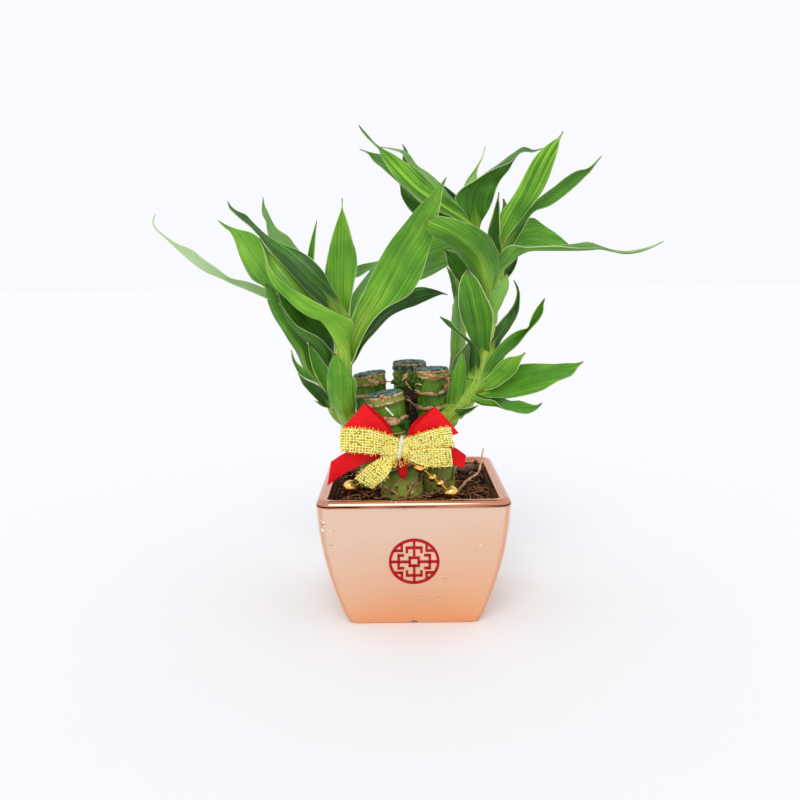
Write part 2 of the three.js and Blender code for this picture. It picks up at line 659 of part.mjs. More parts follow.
const FINISHES = {
  pot: { color: '#e8b89c', roughness: 0.28, metalness: 0.55 },
  roundel: { color: '#b80a12', roughness: 0.45, metalness: 0 },
  soil: { color: '#2a1a14', roughness: 1, metalness: 0 },
  cane: { color: '#3f7d2b', roughness: 0.5, metalness: 0 },
  wax: { color: '#5e8f86', roughness: 0.55, metalness: 0 },
  shoot: { color: '#55a025', roughness: 0.45, metalness: 0 },
  husk: { color: '#9a6b3f', roughness: 0.9, metalness: 0 },
  root: { color: '#cdb283', roughness: 0.8, metalness: 0 },
  satin: { color: '#d8161e', roughness: 0.4, metalness: 0 },
  mesh: { color: '#e0c64a', roughness: 0.35, metalness: 0.4 },
  tie: { color: '#f0ece4', roughness: 0.6, metalness: 0 },
  gold: { color: '#d9a520', roughness: 0.25, metalness: 0.9 },
};

const plant = new THREE.Group();

function addPiece(name, solid, finish) {
  const mesh = new THREE.Mesh(toGeometry(solid), new THREE.MeshStandardMaterial(FINISHES[finish]));
  mesh.name = name;
  plant.add(mesh);
}

addPiece('pot', potSolid(), 'pot');
addPiece('roundel', roundelSolid(), 'roundel');
addPiece('soil', soilSolid(), 'soil');
for (const [place, cane] of Object.entries(CANES)) {
  addPiece(`cane_${place}`, caneSolid(cane), 'cane');
  addPiece(`wax_${place}`, waxSolid(cane), 'wax');
}
const caneRooms = unite(Object.values(CANES).map((cane) => caneRoom(cane, CANE_CLEARANCE)));
for (const [place, shoot] of Object.entries(SHOOTS)) {
  addPiece(`shoot_${place}`, shootSolid(shoot, caneRooms), 'shoot');
}
addPiece('dry_husk', largestBody(bladeSolid(HUSK).subtract(caneRooms)), 'husk');
addPiece('loose_root', tubeSolid(ROOT_ROUTE, ROOT_RADIUS, 6, 14), 'root');
addPiece('red_ribbon', gatheredRibbon([...RED_RIBBON, stripEdges(RED_STRIP)], RED_GATHER), 'satin');
addPiece('gold_ribbon', gatheredRibbon(GOLD_RIBBON, GOLD_GATHER), 'mesh');
addPiece('bow_tie', tieSolid(), 'tie');
for (const [side, wire] of Object.entries(BEAD_WIRES)) {
  addPiece(`bead_wire_${side}`, wireSolid(wire), 'gold');
  for (const [place, bead] of Object.entries(wire.beads)) {
    addPiece(`bead_${place}`, beadSolid(bead, wire), 'gold');
  }
}

export default plant;
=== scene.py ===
"""A lucky bamboo in a square rose-gold ceramic pot, tied with a red and gold bow."""

import functools
import math
import random

import bpy
import numpy as np
from mathutils import Matrix, Vector, noise


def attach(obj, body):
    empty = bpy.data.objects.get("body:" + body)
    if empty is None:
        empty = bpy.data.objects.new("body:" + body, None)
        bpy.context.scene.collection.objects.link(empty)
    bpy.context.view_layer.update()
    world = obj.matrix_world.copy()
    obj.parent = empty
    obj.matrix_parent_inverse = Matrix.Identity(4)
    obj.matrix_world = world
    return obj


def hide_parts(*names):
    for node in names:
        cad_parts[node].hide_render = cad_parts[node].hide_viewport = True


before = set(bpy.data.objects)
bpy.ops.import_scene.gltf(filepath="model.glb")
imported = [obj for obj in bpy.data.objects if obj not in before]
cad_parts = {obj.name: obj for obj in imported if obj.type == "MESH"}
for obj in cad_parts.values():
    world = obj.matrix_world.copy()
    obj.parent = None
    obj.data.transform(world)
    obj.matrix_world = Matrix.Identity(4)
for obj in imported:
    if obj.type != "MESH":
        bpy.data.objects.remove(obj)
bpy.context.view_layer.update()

bl_info = {
    "name": "Potted lucky bamboo",
    "version": (1, 0, 0),
    "blender": (4, 5, 0),
    "location": "View3D > Sidebar > Lucky bamboo",
    "description": "Builds a potted lucky bamboo with its bow and beads around the packed frame",
    "category": "Object",
}

MM = 0.001
# What one millimetre is in the UV maps, whose unit is a tenth of a metre
CHART = 0.01
# How a piece is shaded: an angle in degrees, or one of the two ends
SMOOTH, ALL_SMOOTH, FLAT = 60, 180, 0

# The camera's place in metres, and its pitch down and its roll in degrees
CAMERA_PLACE, CAMERA_PITCH, CAMERA_ROLL = (-0.0063, -0.430, 0.1825), 9.2, 0.6

# Canes: the middle of each at the soil line and at its waxed top, and its rings below the top, in millimetres
CANES = {
    "front_left": {"radius": 10.5, "foot": (-5.7, -12.5), "top": (-15.2, -12, 118.9), "rings": (3.4, 13.5, 27,
        38, 48)},
    "back_left": { "radius": 9.1, "foot": (-19.5, 9), "top": (-23.3, 9, 127.1), "cut": 0.09, "rings": (4.4,
        11, 24, 40, 54)},
    "back_middle": { "radius": 9.2, "foot": (-0.8, 14.5), "top": (-0.8, 14.5, 132.7), "run": 3.2, "rings": (6,
        19, 33, 47, 60)},
    "right": {"radius": 9.4, "foot": (13, -1.2), "top": (10.5, -1.2, 130.6), "rings": (3, 11, 19, 34, 50)},
}
SOIL_LINE = 64.5
CANE_FOOT = 50
WAX_THICKNESS = 1.4
# The length of a leaf's sheath in millimetres, and how far it reaches round the stem to each side in radians
SHEATH, WRAP = 12, 2.3


def blade(rows, tone=0.5, pale=0.0, wave=0.25, stripe=0.16, cast=0.0):
    """One leaf in millimetres. A row holds one margin, the midrib and the other margin; the last row is the
    tip. Its tone sets how dark it is: partly its own green, and partly painted shade for a leaf that lies
    under others."""
    table = np.array([*rows[:-1], rows[-1] * 3], float)
    return {"rows": table, "tone": tone, "pale": pale, "wave": wave, "stripe": stripe, "cast": cast}


LEFT_FRONT_LEAVES = [
    blade([(-29.4, -15, 108.1, -34.5, -20, 106.9, -39, -15, 108.2), (-29.6, -18.5, 115, -36.2, -23, 114.3,
        -42.1, -18.5, 114.1), (-29.2, -20, 120.1, -36.8, -24.5, 120.3, -43.3, -20, 119.7), (-28.5, -21.5,
        125.5, -36.8, -25.5, 126.1, -43.8, -21.5, 125.1), (-31.1, -22.5, 129.8, -37.2, -26, 131.1, -43.2,
        -22.5, 129.9), (-33.5, -23.5, 134, -37.6, -26, 135.4, -42.2, -23.5, 134.6), (-36.4, -24, 138, -38.5,
        -26, 138.7, -40.8, -24, 138.1), (-39.5, -25.5, 141.7)], tone=0.55, wave=0.2, cast=0.45),
    blade([(-31, -20, 150.6, -37.9, -20, 143.5, -33.5, -13, 150.1), (-30, -22, 157.4, -42, -23, 152.5, -35.8,
        -14, 159.5), (-35.6, -24.5, 160.3, -45.8, -24, 157.7, -40.9, -14.5, 167.8), (-42.5, -26, 164.3, -51.2,
        -25, 160, -47.8, -14.5, 176), (-51.9, -26, 169.6, -57.8, -24, 164.3, -55.3, -14.5, 184.3), (-60.4,
        -25, 174.4, -63.9, -22, 170.3, -62.3, -14.5, 189.8), (-67.6, -22, 179.9, -70.2, -19, 176.4, -68.5,
        -13.5, 193.5), (-72.1, -18, 185.4, -73.3, -16, 182.4, -72.7, -12, 195.1), (-74.1, -15, 191.5, -74.6,
        -14, 190, -74.9, -11, 195.6), (-77.7, -10, 200.2)], tone=0.78),
    blade([(-37.6, -19, 158.8, -36.3, -16, 159.6, -34.1, -17, 161.2), (-42.5, -20.5, 162.7, -40.1, -17.5,
        165.9, -37.5, -17.5, 169.4), (-47.8, -22, 167.6, -44.4, -19, 172.1, -41.3, -18.5, 176), (-53.6, -23,
        173.3, -50.3, -20, 177.7, -44.5, -18.5, 182.6), (-59.6, -22, 180.3, -56.3, -19, 184.2, -50.8, -16.5,
        189), (-66.2, -20, 187.3, -62.9, -17, 190.3, -58.2, -14, 193.4), (-72.3, -18, 193.6, -69.7, -15,
        195.4, -66.5, -12, 197), (-77.2, -14.5, 200.5, -76.1, -12, 201.6, -75, -9, 201.7), (-82.5, -12, 205.7,
        -82.3, -10, 207.3, -82.2, -7.5, 208.5), (-87, -9.5, 209.1, -86.2, -8, 210.5, -84.9, -6, 211.6),
        (-91.3, -8, 212.8, -90.7, -6.5, 213.7, -90.2, -5, 214), (-93.6, -6, 215.5, -93.5, -5, 216.3, -93.4,
        -4, 216.7), (-94.6, -4, 219.2)], tone=0.12, stripe=0.5),
    blade([(-38.4, -14, 160.6, -35.6, -11, 157.8, -32.2, -14, 160.5), (-41.9, -14.5, 168.3, -36.2, -11.5,
        166.6, -31, -14, 168.2), (-44, -14.5, 176, -36.2, -12, 175.4, -29.3, -14, 175.8), (-44, -15.5, 183.1,
        -35.9, -13, 184, -27.6, -14.5, 184), (-42.4, -16.5, 190.1, -35.4, -14.5, 191.1, -27.9, -15.5, 191.5),
        (-40.3, -18, 197.5, -35.1, -16.5, 198, -29.5, -17.5, 197.4), (-38, -19.5, 204.4, -34.6, -18, 204.9,
        -31, -18.5, 204.3), (-35.8, -20.5, 210.2, -34.4, -19.5, 210.5, -32.8, -20, 210.2), (-34.5, -21, 213.5,
        -34.2, -20.5, 213.6, -33.9, -21, 213.5), (-33.9, -22, 218.5)], tone=0.62, wave=0.3),
    blade([(-36.4, -17, 139, -33.9, -12, 135.3, -31.6, -17, 132.2), (-34.9, -18, 145.3, -31, -14, 143.4,
        -28.7, -18.5, 140.7), (-31.9, -21, 154.8, -27.5, -18, 152, -24, -22.5, 150.5), (-28.5, -24, 163.5,
        -23.1, -22, 159.3, -19.5, -26, 157.8), (-23.7, -27, 172.5, -17.8, -26, 167, -13.3, -30, 164.1),
        (-16.5, -28, 186.7, -10.1, -28, 180.3, -1.3, -30, 170.4), (-10.4, -29.5, 196.4, -4.6, -29.5, 190.5,
        4.5, -31, 178.7), (-3.5, -30, 204.9, 1.9, -30, 200.5, 8.2, -31.5, 190.3), (3.9, -30, 213.4, 7.8, -30,
        210.1, 11.7, -31.5, 202.7), (9.8, -30, 219, 11.8, -30, 217.2, 14.2, -31, 213.2), (13.5, -30, 222.6,
        14.2, -30, 221.8, 15.4, -30.5, 220.4), (17.6, -30, 227.4)], tone=0.5, wave=0.4, cast=1.0),
    blade([(-31.3, -11, 140.5, -31.5, -9, 134.9, -31.7, -11, 130.9), (-27.5, -9, 148.7, -26.6, -8, 144.9, -26,
        -10, 142.4), (-21.7, -5, 156.7, -19.7, -5, 153.6, -18.6, -6.5, 150.7), (-14.3, -1, 163.9, -12.2, -2,
        160.7, -11.7, -3.5, 157.9), (-6.3, 3, 168.9, -4.7, 1, 165.3, -4.2, 0, 161.6), (0.3, 5.5, 172.5, 1.8,
        4, 168.3, 2.3, 3, 163.5), (5.7, 7.5, 173.5, 7.8, 6, 169.8, 8.9, 5.5, 166.3), (11.7, 9, 172.4, 12.8, 8,
        170.2, 13.8, 7.5, 168.3), (16.7, 10, 170.7, 17.2, 9.5, 170.1, 17.7, 9, 169.5), (20.5, 10, 169)],
        tone=0.04),
    blade([(-32.5, -12, 152.1, -31.1, -11, 150.4, -28.9, -12, 150), (-31.9, -10, 161.3, -29.9, -9, 160.7,
        -27.3, -10, 159.7), (-30.8, -8, 170.1, -27.8, -7, 169, -24.6, -8, 167.4), (-27.1, -7, 175.2, -24, -6,
        174.1, -20.4, -7, 172.5), (-21.8, -5.5, 181.9, -18.7, -5, 181.3, -15.1, -5.5, 179.7), (-17.6, -4.5,
        187, -14.5, -4, 187, -10.8, -4.5, 186.4), (-8.1, -3, 193.1)], tone=0.55, pale=0.25),
    blade([(-38.3, -10, 156.2, -37.3, -9, 157.2, -35.8, -8, 159.2), (-49.2, -3, 167.5, -46, -2, 171.1, -43.4,
        -1, 174.7), (-60.1, 2.5, 179.6, -55.9, 4, 184.3, -53.2, 5, 187.4), (-69.5, 7.5, 191.9, -64.2, 9,
        194.5, -61.1, 10, 194.2), (-75.7, 11, 199.5, -70.5, 13, 201.1, -66, 14, 201.1), (-77.9, 14.5, 205.5,
        -75.1, 16, 206.3, -72.6, 17, 206.1), (-78.4, 16.5, 209.6, -77.5, 18, 210.7, -75.7, 18.5, 210.8),
        (-80.8, 19, 213.8, -79.9, 20, 214.7, -77.7, 20.5, 214.9), (-81, 21.5, 218.8, -80.6, 22, 219.1, -79.8,
        22.5, 218.9), (-80.7, 24, 223.6)], tone=0.5, pale=0.15, wave=0.8),
    blade([(-40.7, -12, 158.4, -39.2, -11, 158.3, -37.6, -12, 158.4), (-48.6, -8, 169.7, -46.6, -7, 169.7,
        -44.4, -8, 170.7), (-54.4, -5, 183.2, -52.3, -4, 183.7, -50.1, -5, 184.2), (-53.1, -3.5, 195.1, -51.6,
        -3, 195.4, -50, -3.5, 195.6), (-48.6, -3, 209.4)], tone=0.35),
]
LEFT_BACK_LEAVES = [
    blade([(-43, 1, 107.8, -43.6, 2, 108.5, -44.1, 2, 109.6), (-47.3, 0, 108.6, -47.8, 1, 110.4, -48.4, 1,
        111.5), (-52.9, 0, 113.1)], tone=0.35, wave=0.1),
    blade([(-45.7, 1, 108.1, -44.7, 2, 109.6, -44, 1, 113.1), (-51, 0, 112.8, -48.8, 1, 115.4, -47.5, 0,
        118.8), (-55.6, -1, 118.2, -53.5, 0, 120, -51.7, -1, 122.3), (-59.3, -0.5, 122.6, -57.7, 0, 123.8,
        -56.6, -0.5, 124.4), (-61.8, 1, 128.4)], tone=0.16, wave=0.1),
    blade([(-56.5, 3, 121.8, -53.3, 4, 122.1, -53.1, 3, 124.5), (-59.9, 5, 125.4, -57.8, 6, 125.8, -56.5, 5,
        128.1), (-62.8, 7, 128.7, -61.8, 8, 129.5, -60, 7, 130.9), (-65.3, 8.5, 133.9, -64.5, 9, 133.8, -63.6,
        8.5, 133.8), (-66.2, 11, 140)], tone=0.4, wave=0.1),
    blade([(-43, -5, 110.2, -41.5, -3, 109.3, -38.7, -5, 110.7), (-45.3, -7, 117.7, -42.3, -5, 116.2, -38.4,
        -6.5, 117), (-48.4, -9, 123.4, -44.7, -7, 122.5, -39.7, -8.5, 123.2), (-51.1, -10.5, 128.9, -47.6,
        -8.5, 128.7, -42.7, -9.5, 129.3), (-52.8, -10.5, 134.8, -50, -9, 135.1, -46, -9.5, 134.6), (-54, -10,
        140.3, -52.2, -9, 140.5, -49.8, -9.5, 140), (-54.3, -9, 145.5)], tone=0.4, wave=0.3),
    blade([(-52.4, 6, 123, -54.1, 2, 123.5, -57.7, 6, 128), (-54.2, 4.5, 132.5, -57, 1, 133, -59.9, 4.5,
        132.6), (-55.7, 3.5, 143, -58.9, 0.5, 141.2, -63.1, 3.5, 140.7), (-59.6, 4, 148, -63.6, 1, 148.2,
        -67.7, 4, 148), (-64.6, 4.5, 155, -68.3, 2, 155.2, -72.4, 4.5, 155.4), (-68.6, 6, 162.5, -72.2, 4,
        162.1, -75.9, 6, 162.6), (-71.1, 7.5, 168.9, -74.4, 6, 168.5, -78.1, 7.5, 168.5), (-73.5, 8, 172.7,
        -76, 7, 172.8, -78.7, 8, 172.8), (-78.5, 8, 176.5)], tone=0.34, cast=0.3),
    blade([(-39.9, -3, 135.4, -45.1, 0, 129.2, -40.3, 5, 144.4), (-43, -8, 141.9, -49.3, -4, 138.9, -42.7, 3,
        151.1), (-47.8, -12, 147.8, -54, -8, 145.2, -47.6, -1, 156.2), (-53.7, -14, 151.7, -58.4, -10, 149.6,
        -53, -4, 161.2), (-59.2, -15, 154.9, -62.2, -12, 154.5, -58.4, -6, 166.1), (-63.6, -15.5, 160.4,
        -65.3, -13, 160, -62.8, -8, 169.9), (-66.6, -15, 165.5, -67.3, -14, 165.2, -66.1, -10, 171), (-68.3,
        -14.5, 172.2)], tone=0.22),
    # Its far end is washed out by the light: much of its pale is a painted highlight
    blade([(-60, 4, 152.3, -60.2, 6, 154.3, -59.5, 5, 157.1), (-69, 5, 163.6, -68.7, 7, 166.2, -68.5, 6.5,
        169), (-78.9, 7, 168.5, -79.1, 9, 170.9, -79.5, 8.5, 173.8), (-88.5, 10.5, 172.6, -89.3, 12, 174.7,
        -89.2, 12, 177.4), (-98.5, 14.5, 176.4, -99.3, 16, 177.7, -99.2, 16, 179.6), (-107.3, 17.5, 180,
        -108.6, 19, 181.9, -108, 19.5, 185.7), (-115.6, 20.5, 183.9, -116.3, 22, 187.2, -115.2, 22.5, 190.2),
        (-122.5, 22.5, 188.9, -122.7, 24, 191.7, -121.5, 24.5, 195.2), (-129.5, 25, 194.8, -130.3, 26, 196.5,
        -129.7, 26.5, 198.4), (-136.1, 27.5, 200.7, -136.6, 28.5, 201.6, -136.3, 29, 202.4), (-142, 30, 205.8,
        -142.5, 30.5, 206.4, -142.3, 31, 207), (-144.2, 31, 208.6, -144.3, 31.5, 209, -144, 32, 209.2),
        (-144.8, 32, 212, -144.6, 32.5, 212.1, -144.4, 32.5, 212.1), (-143, 33, 215.7)], tone=0.55,
        pale=0.85),
    blade([(-61.1, 4, 152.8, -60.2, 6, 153.8, -57.9, 5, 156.5), (-70.1, 6, 165.8, -68.2, 8, 166.7, -64.8, 7,
        169.4), (-78.8, 8, 173.9, -74.8, 10, 174.8, -70.2, 9.5, 179.6), (-86, 9.5, 178.5, -80.3, 12, 182.4,
        -73.5, 11.5, 188.8), (-90.4, 11.5, 185.8, -85.3, 14, 190, -77.4, 14, 195.8), (-93.8, 14, 193.3, -89.2,
        16, 196, -81.9, 16, 200.5), (-96, 16.5, 199.3, -92.7, 18, 201, -87.1, 18, 203.9), (-99, 19, 204.6,
        -96.7, 20, 205.1, -93.5, 20, 205.5), (-102.2, 20, 207.2, -101.3, 21, 207.6, -100.2, 21.5, 207.7),
        (-106, 22, 211.1)], tone=0.62, wave=0.4),
]
RIGHT_FRONT_LEAVES = [
    blade([(27.4, -8, 109.5, 22.8, -12, 107, 18.8, -8, 108.5), (28.1, -11.5, 117, 23.4, -15, 116, 19.1, -11.5,
        116.6), (28.3, -14.5, 123.9, 24, -17.5, 123.8, 20.3, -14.5, 123.7), (28, -16.5, 130.5, 24.9, -19,
        130.8, 22, -16.5, 130.3), (27.3, -18.5, 136.5, 25.6, -20, 136.6, 23.8, -18.5, 136.2), (26.4, -20,
        141.5)], tone=0.5, wave=0.2, cast=0.4),
    blade([(33.2, -8, 120.2, 31.7, -13, 114.6, 33.5, -16, 118.2), (38.5, -9, 117.6, 36.3, -15, 112.4, 37.5,
        -18, 115.8), (43.6, -11, 117.1, 41.3, -17, 112.2, 42.5, -20, 115.3), (48.1, -13, 115.7, 46.3, -19,
        112.2, 47, -22, 111.9), (52.4, -16, 114.8, 51.2, -21, 112.5, 51.4, -23.5, 110), (56.7, -19, 114.2,
        56.1, -23, 111.7, 55.9, -25, 109.2), (60.9, -22, 113.6, 60.5, -25, 111.8, 60.2, -26.5, 109.7), (64,
        -25, 113.6, 63.8, -26.5, 113, 63.9, -27.5, 111.9), (66.1, -29, 115.5)], tone=0.5, wave=0.9),
    blade([(35.1, -11, 120.6, 34.5, -11, 117.4, 35.8, -14, 115.7), (43.2, -13, 127.7, 43.8, -13.5, 120.9,
        42.9, -17, 116.2), (50.3, -15, 131.6, 51.8, -16, 124.1, 50.8, -20, 116.6), (58.2, -17.5, 134, 60.1,
        -19, 127.6, 59.5, -23.5, 118.6), (66, -20, 134.4, 67.8, -22, 130.5, 67.7, -26.5, 122.1), (73.2, -23,
        134.4, 74.5, -24.5, 132.8, 74.9, -28, 126.5), (79.3, -25.5, 135, 79.7, -26.5, 133.7, 80.8, -29,
        129.2), (83.7, -27.5, 135.3, 83.9, -28, 134.9, 84.1, -29.5, 134), (86.6, -29, 136.5)], tone=0.48,
        wave=0.3),
    blade([(36.2, -15, 122.3, 37, -13, 119.3, 38.4, -15, 118), (40.7, -16.5, 128.8, 43, -15.5, 124.4, 44.3,
        -18, 122.1), (45.5, -19, 135.3, 48.2, -19, 130, 49.7, -22, 126.8), (49.8, -22, 138.1, 51.9, -22, 135,
        53.9, -24.5, 131.9), (53.6, -24, 138.8, 54.3, -24, 137.8, 55.4, -25.5, 136.4), (58, -25, 140.9)],
        tone=0.62, wave=0.2),
    blade([(35.8, -14, 123.8, 36.9, -14, 121, 37.9, -14, 119.4), (39.4, -13.5, 134.7, 41.1, -13, 130.9, 43.3,
        -13, 127.2), (45.5, -10.5, 142.7, 47.7, -10, 139.5, 49.1, -11, 136.9), (52.2, -7.5, 148.2, 54, -6,
        144.4, 54.7, -8.5, 141.9), (57.6, -6.5, 150.7, 58.4, -5, 147.7, 58.5, -8, 145.8), (61.5, -6.5, 151.7,
        62, -5, 150.8, 62.1, -7.5, 150), (62.8, -6.5, 155.7, 65.1, -5, 155.3, 66.6, -7, 154.9), (65.4, -6,
        160.9, 67.7, -5, 160, 69.6, -7, 160.4), (68, -6, 164.5, 68.9, -5, 164.2, 69.8, -6.5, 163.8), (70.7,
        -5, 167.4)], tone=0.38, wave=0.2),
    blade([(37.4, -13, 139.9, 39.4, -13, 138.8, 43.8, -12, 137.6), (41.7, -11, 149.7, 43.9, -11, 146, 46.4,
        -8, 143.6), (46.9, -7, 155.4, 49.1, -6.5, 151.9, 51.1, -5, 149.6), (51.8, -1.5, 160, 53.6, 0, 157.3,
        55.3, -1.5, 155.2), (55.2, 0.5, 164.1, 56.8, 2, 161.9, 58, 1, 161.2), (56.9, 2.5, 169.4, 58, 3.5,
        168.3, 58.7, 2.5, 167.8), (56.6, 4, 173.6, 57.3, 4.5, 173.3, 57.7, 4, 173.1), (55.4, 5, 177)],
        tone=0.1),
    blade([(30.1, -10, 129.1, 33.3, -13, 126.3, 37.2, -10, 129), (30.3, -13.5, 137.5, 32.9, -16, 137.2, 35.8,
        -13.5, 136.9), (30.2, -17, 143.8, 31.6, -18.5, 143.7, 34.4, -17, 141.9), (26.4, -19, 148.1, 27.4, -20,
        148.2, 28.7, -19, 147.9), (22.2, -20.5, 151.4, 22.7, -21, 151.9, 23.5, -20.5, 152.4), (18.1, -21.5,
        154.8, 18.5, -22, 155.8, 19.3, -21.5, 157.1), (16, -22.5, 157.2, 16.2, -23, 157.7, 16.7, -22.5,
        158.2), (14.1, -23.5, 159.5)], tone=0.15, wave=0.1),
    blade([(34.1, -14, 140.1, 37.7, -10, 135.4, 39.9, -14, 140), (30.7, -16.5, 146.6, 36.8, -13, 143.6, 40.8,
        -17.5, 146.6), (27.3, -20.5, 153.1, 35.6, -17, 151.7, 41.5, -21.5, 154.6), (24.5, -24, 159.9, 33.9,
        -21, 159.7, 40.7, -26, 160.9), (23.6, -26, 167.1, 32.1, -23.5, 166.9, 38.4, -27.5, 167), (23.5, -27,
        173, 30.7, -25, 172.9, 35.6, -28, 172.4), (24.7, -27, 178, 29, -26, 177.9, 32.4, -27.5, 177.9), (27.7,
        -27, 182.9)], tone=0.44, wave=0.3, stripe=0.35),
    blade([(39, -11, 156.5, 40.9, -12.5, 152.8, 43.1, -11, 154.7), (39.8, -12, 163.9, 42.7, -13, 162.4, 45.6,
        -11, 161.7), (41.2, -12, 170.1, 44.7, -12.5, 168.7, 48.3, -10, 166.5), (43.7, -10.5, 173.5, 47.3,
        -10.5, 172.5, 50.6, -8, 171.4), (47.2, -8.5, 176.7, 49.2, -8.5, 175.9, 51.3, -7, 176.1), (50.3, -6,
        180.8)], tone=0.66, pale=0.15),
    blade([(42, -7, 169.3, 40.4, -12, 167.4, 39.1, -7, 169.3), (44.6, -11, 179.6, 38.9, -16, 175.7, 33.4, -11,
        177.1), (45.1, -14.5, 186.2, 36.5, -19, 183.3, 28.7, -14.5, 184.2), (43.6, -17.5, 192.2, 33.1, -22,
        189.2, 24.7, -17.5, 188.9), (38.8, -25, 198.9, 28, -29, 194.3, 20.3, -26, 193.7), (31.4, -29, 203.4,
        21.8, -33, 198.6, 14.6, -31, 197), (22.8, -32, 206.3, 15.8, -35.5, 201.8, 10.5, -34, 198.8), (15.5,
        -33, 208, 11, -36.5, 203.7, 7.8, -35, 201.7), (10.2, -33, 208.3, 7.6, -36, 205.6, 6.8, -34.5, 204),
        (8.1, -34, 207.1)], tone=0.46, wave=0.2, cast=0.9),
    blade([(47.6, -3, 186.3, 45.9, -9, 176.5, 44.3, -13, 186.3), (50.2, -3, 191.5, 47.1, -11, 181.5, 45.5,
        -15, 190.5), (53.2, -4, 194, 50.6, -12, 185.1, 48.4, -16, 193.5), (57.4, -7, 194.4, 54.5, -13, 188.8,
        52, -16, 194.8), (62.3, -9, 194.3, 60, -14, 191.6, 57.5, -16.5, 193.6), (69.7, -11, 194.1, 68.5, -15,
        192, 67, -17.5, 193.6), (77.5, -13, 194.2, 76.3, -16.5, 191.9, 75.3, -19, 193.6), (84.7, -15, 195.1,
        84.3, -17.5, 191.8, 83.7, -20, 193), (90.6, -16, 196, 90.7, -18, 192, 90.2, -20, 192.7), (95.9, -17.5,
        193.9, 95.5, -19, 192.4, 95.3, -20, 192.6), (101.6, -19, 191.8, 101.4, -20, 191.1, 101.2, -20.5,
        191.3), (108.3, -20.5, 191, 108.2, -21, 189.7, 108, -21.5, 190.5), (115.4, -22, 191.9, 115.3, -22.5,
        190.7, 115.1, -23, 191.3), (121.3, -23.5, 193.7, 121.2, -24, 193, 121.1, -24.5, 193.4), (125.8, -25,
        195.6)], tone=0.42, pale=0.12, wave=0.3),
    blade([(46.9, -4, 186.3, 48.7, -3, 184.8, 50.7, -4, 183.2), (51.5, 0, 199.8, 53.7, 0, 194.6, 56.2, -1.5,
        189.9), (58.5, 5, 207.3, 60.1, 4, 199.9, 61.5, 2.5, 191.5), (66, 9, 209.5, 67.4, 7, 201.5, 68.3, 5,
        192.5), (73, 11.5, 205.4, 73.9, 10, 199.5, 74.8, 8.5, 193.1), (79.9, 13, 200.9, 80.3, 12, 197.9, 80.7,
        11, 194.1), (84.1, 14.5, 197.7, 84.5, 14, 196.6, 84.9, 13.5, 195.2), (86.7, 15, 195.5)], tone=0.58),
    blade([(44.9, -7, 192.5, 46.3, -5, 191, 47.4, -8, 193.9), (46, -8, 201.6, 49.1, -6.5, 199.1, 51.2, -9.5,
        200.7), (46, -9.5, 210.1, 52.4, -8.5, 206, 56.5, -12, 207.8), (50.4, -11, 216.4, 55.6, -10.5, 212.9,
        61.6, -14, 214), (54.4, -12.5, 222.9, 59.3, -12.5, 220.1, 65.7, -16.5, 219.9), (57.9, -14, 229.8,
        62.4, -14.5, 227.5, 69.2, -18, 227.5), (61.2, -16, 236.1, 65.4, -16.5, 234.3, 71.6, -19.5, 234.8),
        (65, -18, 240.8, 68.4, -18.5, 240.2, 72.9, -21, 240.3), (69.7, -19, 244.4, 71.1, -19.5, 244.1, 73.6,
        -21, 244.6), (73.3, -19.5, 246.4, 73.7, -20, 246.5, 74.1, -21, 246.2), (75.6, -20, 249.7)], tone=0.78,
        wave=0.3, stripe=0.7),
    blade([(46.9, -4, 191.5, 48.6, -3, 190.5, 50.1, -4, 189.4), (55.1, 0, 207, 57.4, 1, 204.5, 58.8, -0.5,
        202.8), (63.1, 4.5, 215.5, 64.9, 6, 214, 65.7, 4, 212.3), (69.5, 8.5, 220.4, 72.5, 10, 217.9, 74.3, 8,
        215.6), (76.9, 11.5, 225.5, 80, 13, 223, 82.2, 10.5, 220.5), (84.4, 14.5, 231.2, 86.8, 15.5, 227.9,
        89.2, 13.5, 225.9), (90.7, 16.5, 234.8, 93.1, 17.5, 232.6, 95, 16, 231.3), (97, 18.5, 236.3, 98.2, 19,
        235.8, 99.2, 18, 235.5), (104.8, 20, 243)], tone=0.3, wave=0.2),
    blade([(41.5, -10, 192.4, 44.3, -8, 189.4, 46.1, -10, 192.4), (39.4, -12.5, 199.4, 42.9, -10.5, 198.5,
        45.8, -12.5, 199.4), (40.2, -14, 204.8, 43.1, -12.5, 204.9, 45.4, -14.5, 205.3), (41.8, -14.5, 210.7,
        44, -13.5, 211.3, 45.1, -15, 211.2), (43.7, -15, 216.6, 44.3, -14.5, 216.9, 44.7, -15.5, 216.8),
        (44.7, -15, 221.3)], tone=0.18, wave=0.1),
    blade([(44.4, -4, 171.8, 45.6, -3, 171.2, 46.6, -4, 171.2), (47.4, -1, 180.1, 49.1, 0, 178, 50.6, -1.5,
        176.4), (51.3, 1, 184, 53.1, 2, 182.1, 54.2, 0.5, 181.1), (54.8, 3.5, 186.6, 55.7, 4, 185.8, 56.7,
        3.5, 185.2), (57.7, 5, 189.2)], tone=0.08, wave=0.1),
    blade([(46.3, -3, 211, 48, -2, 211, 49.4, -3, 211.5), (48.1, 3, 216, 49.8, 4, 215.6, 51.2, 3, 215), (50.1,
        6.5, 218.3, 51.2, 7, 218.4, 52.2, 6.5, 218.3), (50.1, 9, 221.4)], tone=0.0, wave=0.1),
    blade([(22.6, -15, 108.6, 23.2, -14, 106.8, 24.2, -15, 105.9), (28.2, -17, 110.7, 28.8, -16, 109.2, 29.3,
        -17, 108), (34.9, -18, 112.7)], tone=0.1, wave=0.1),
]
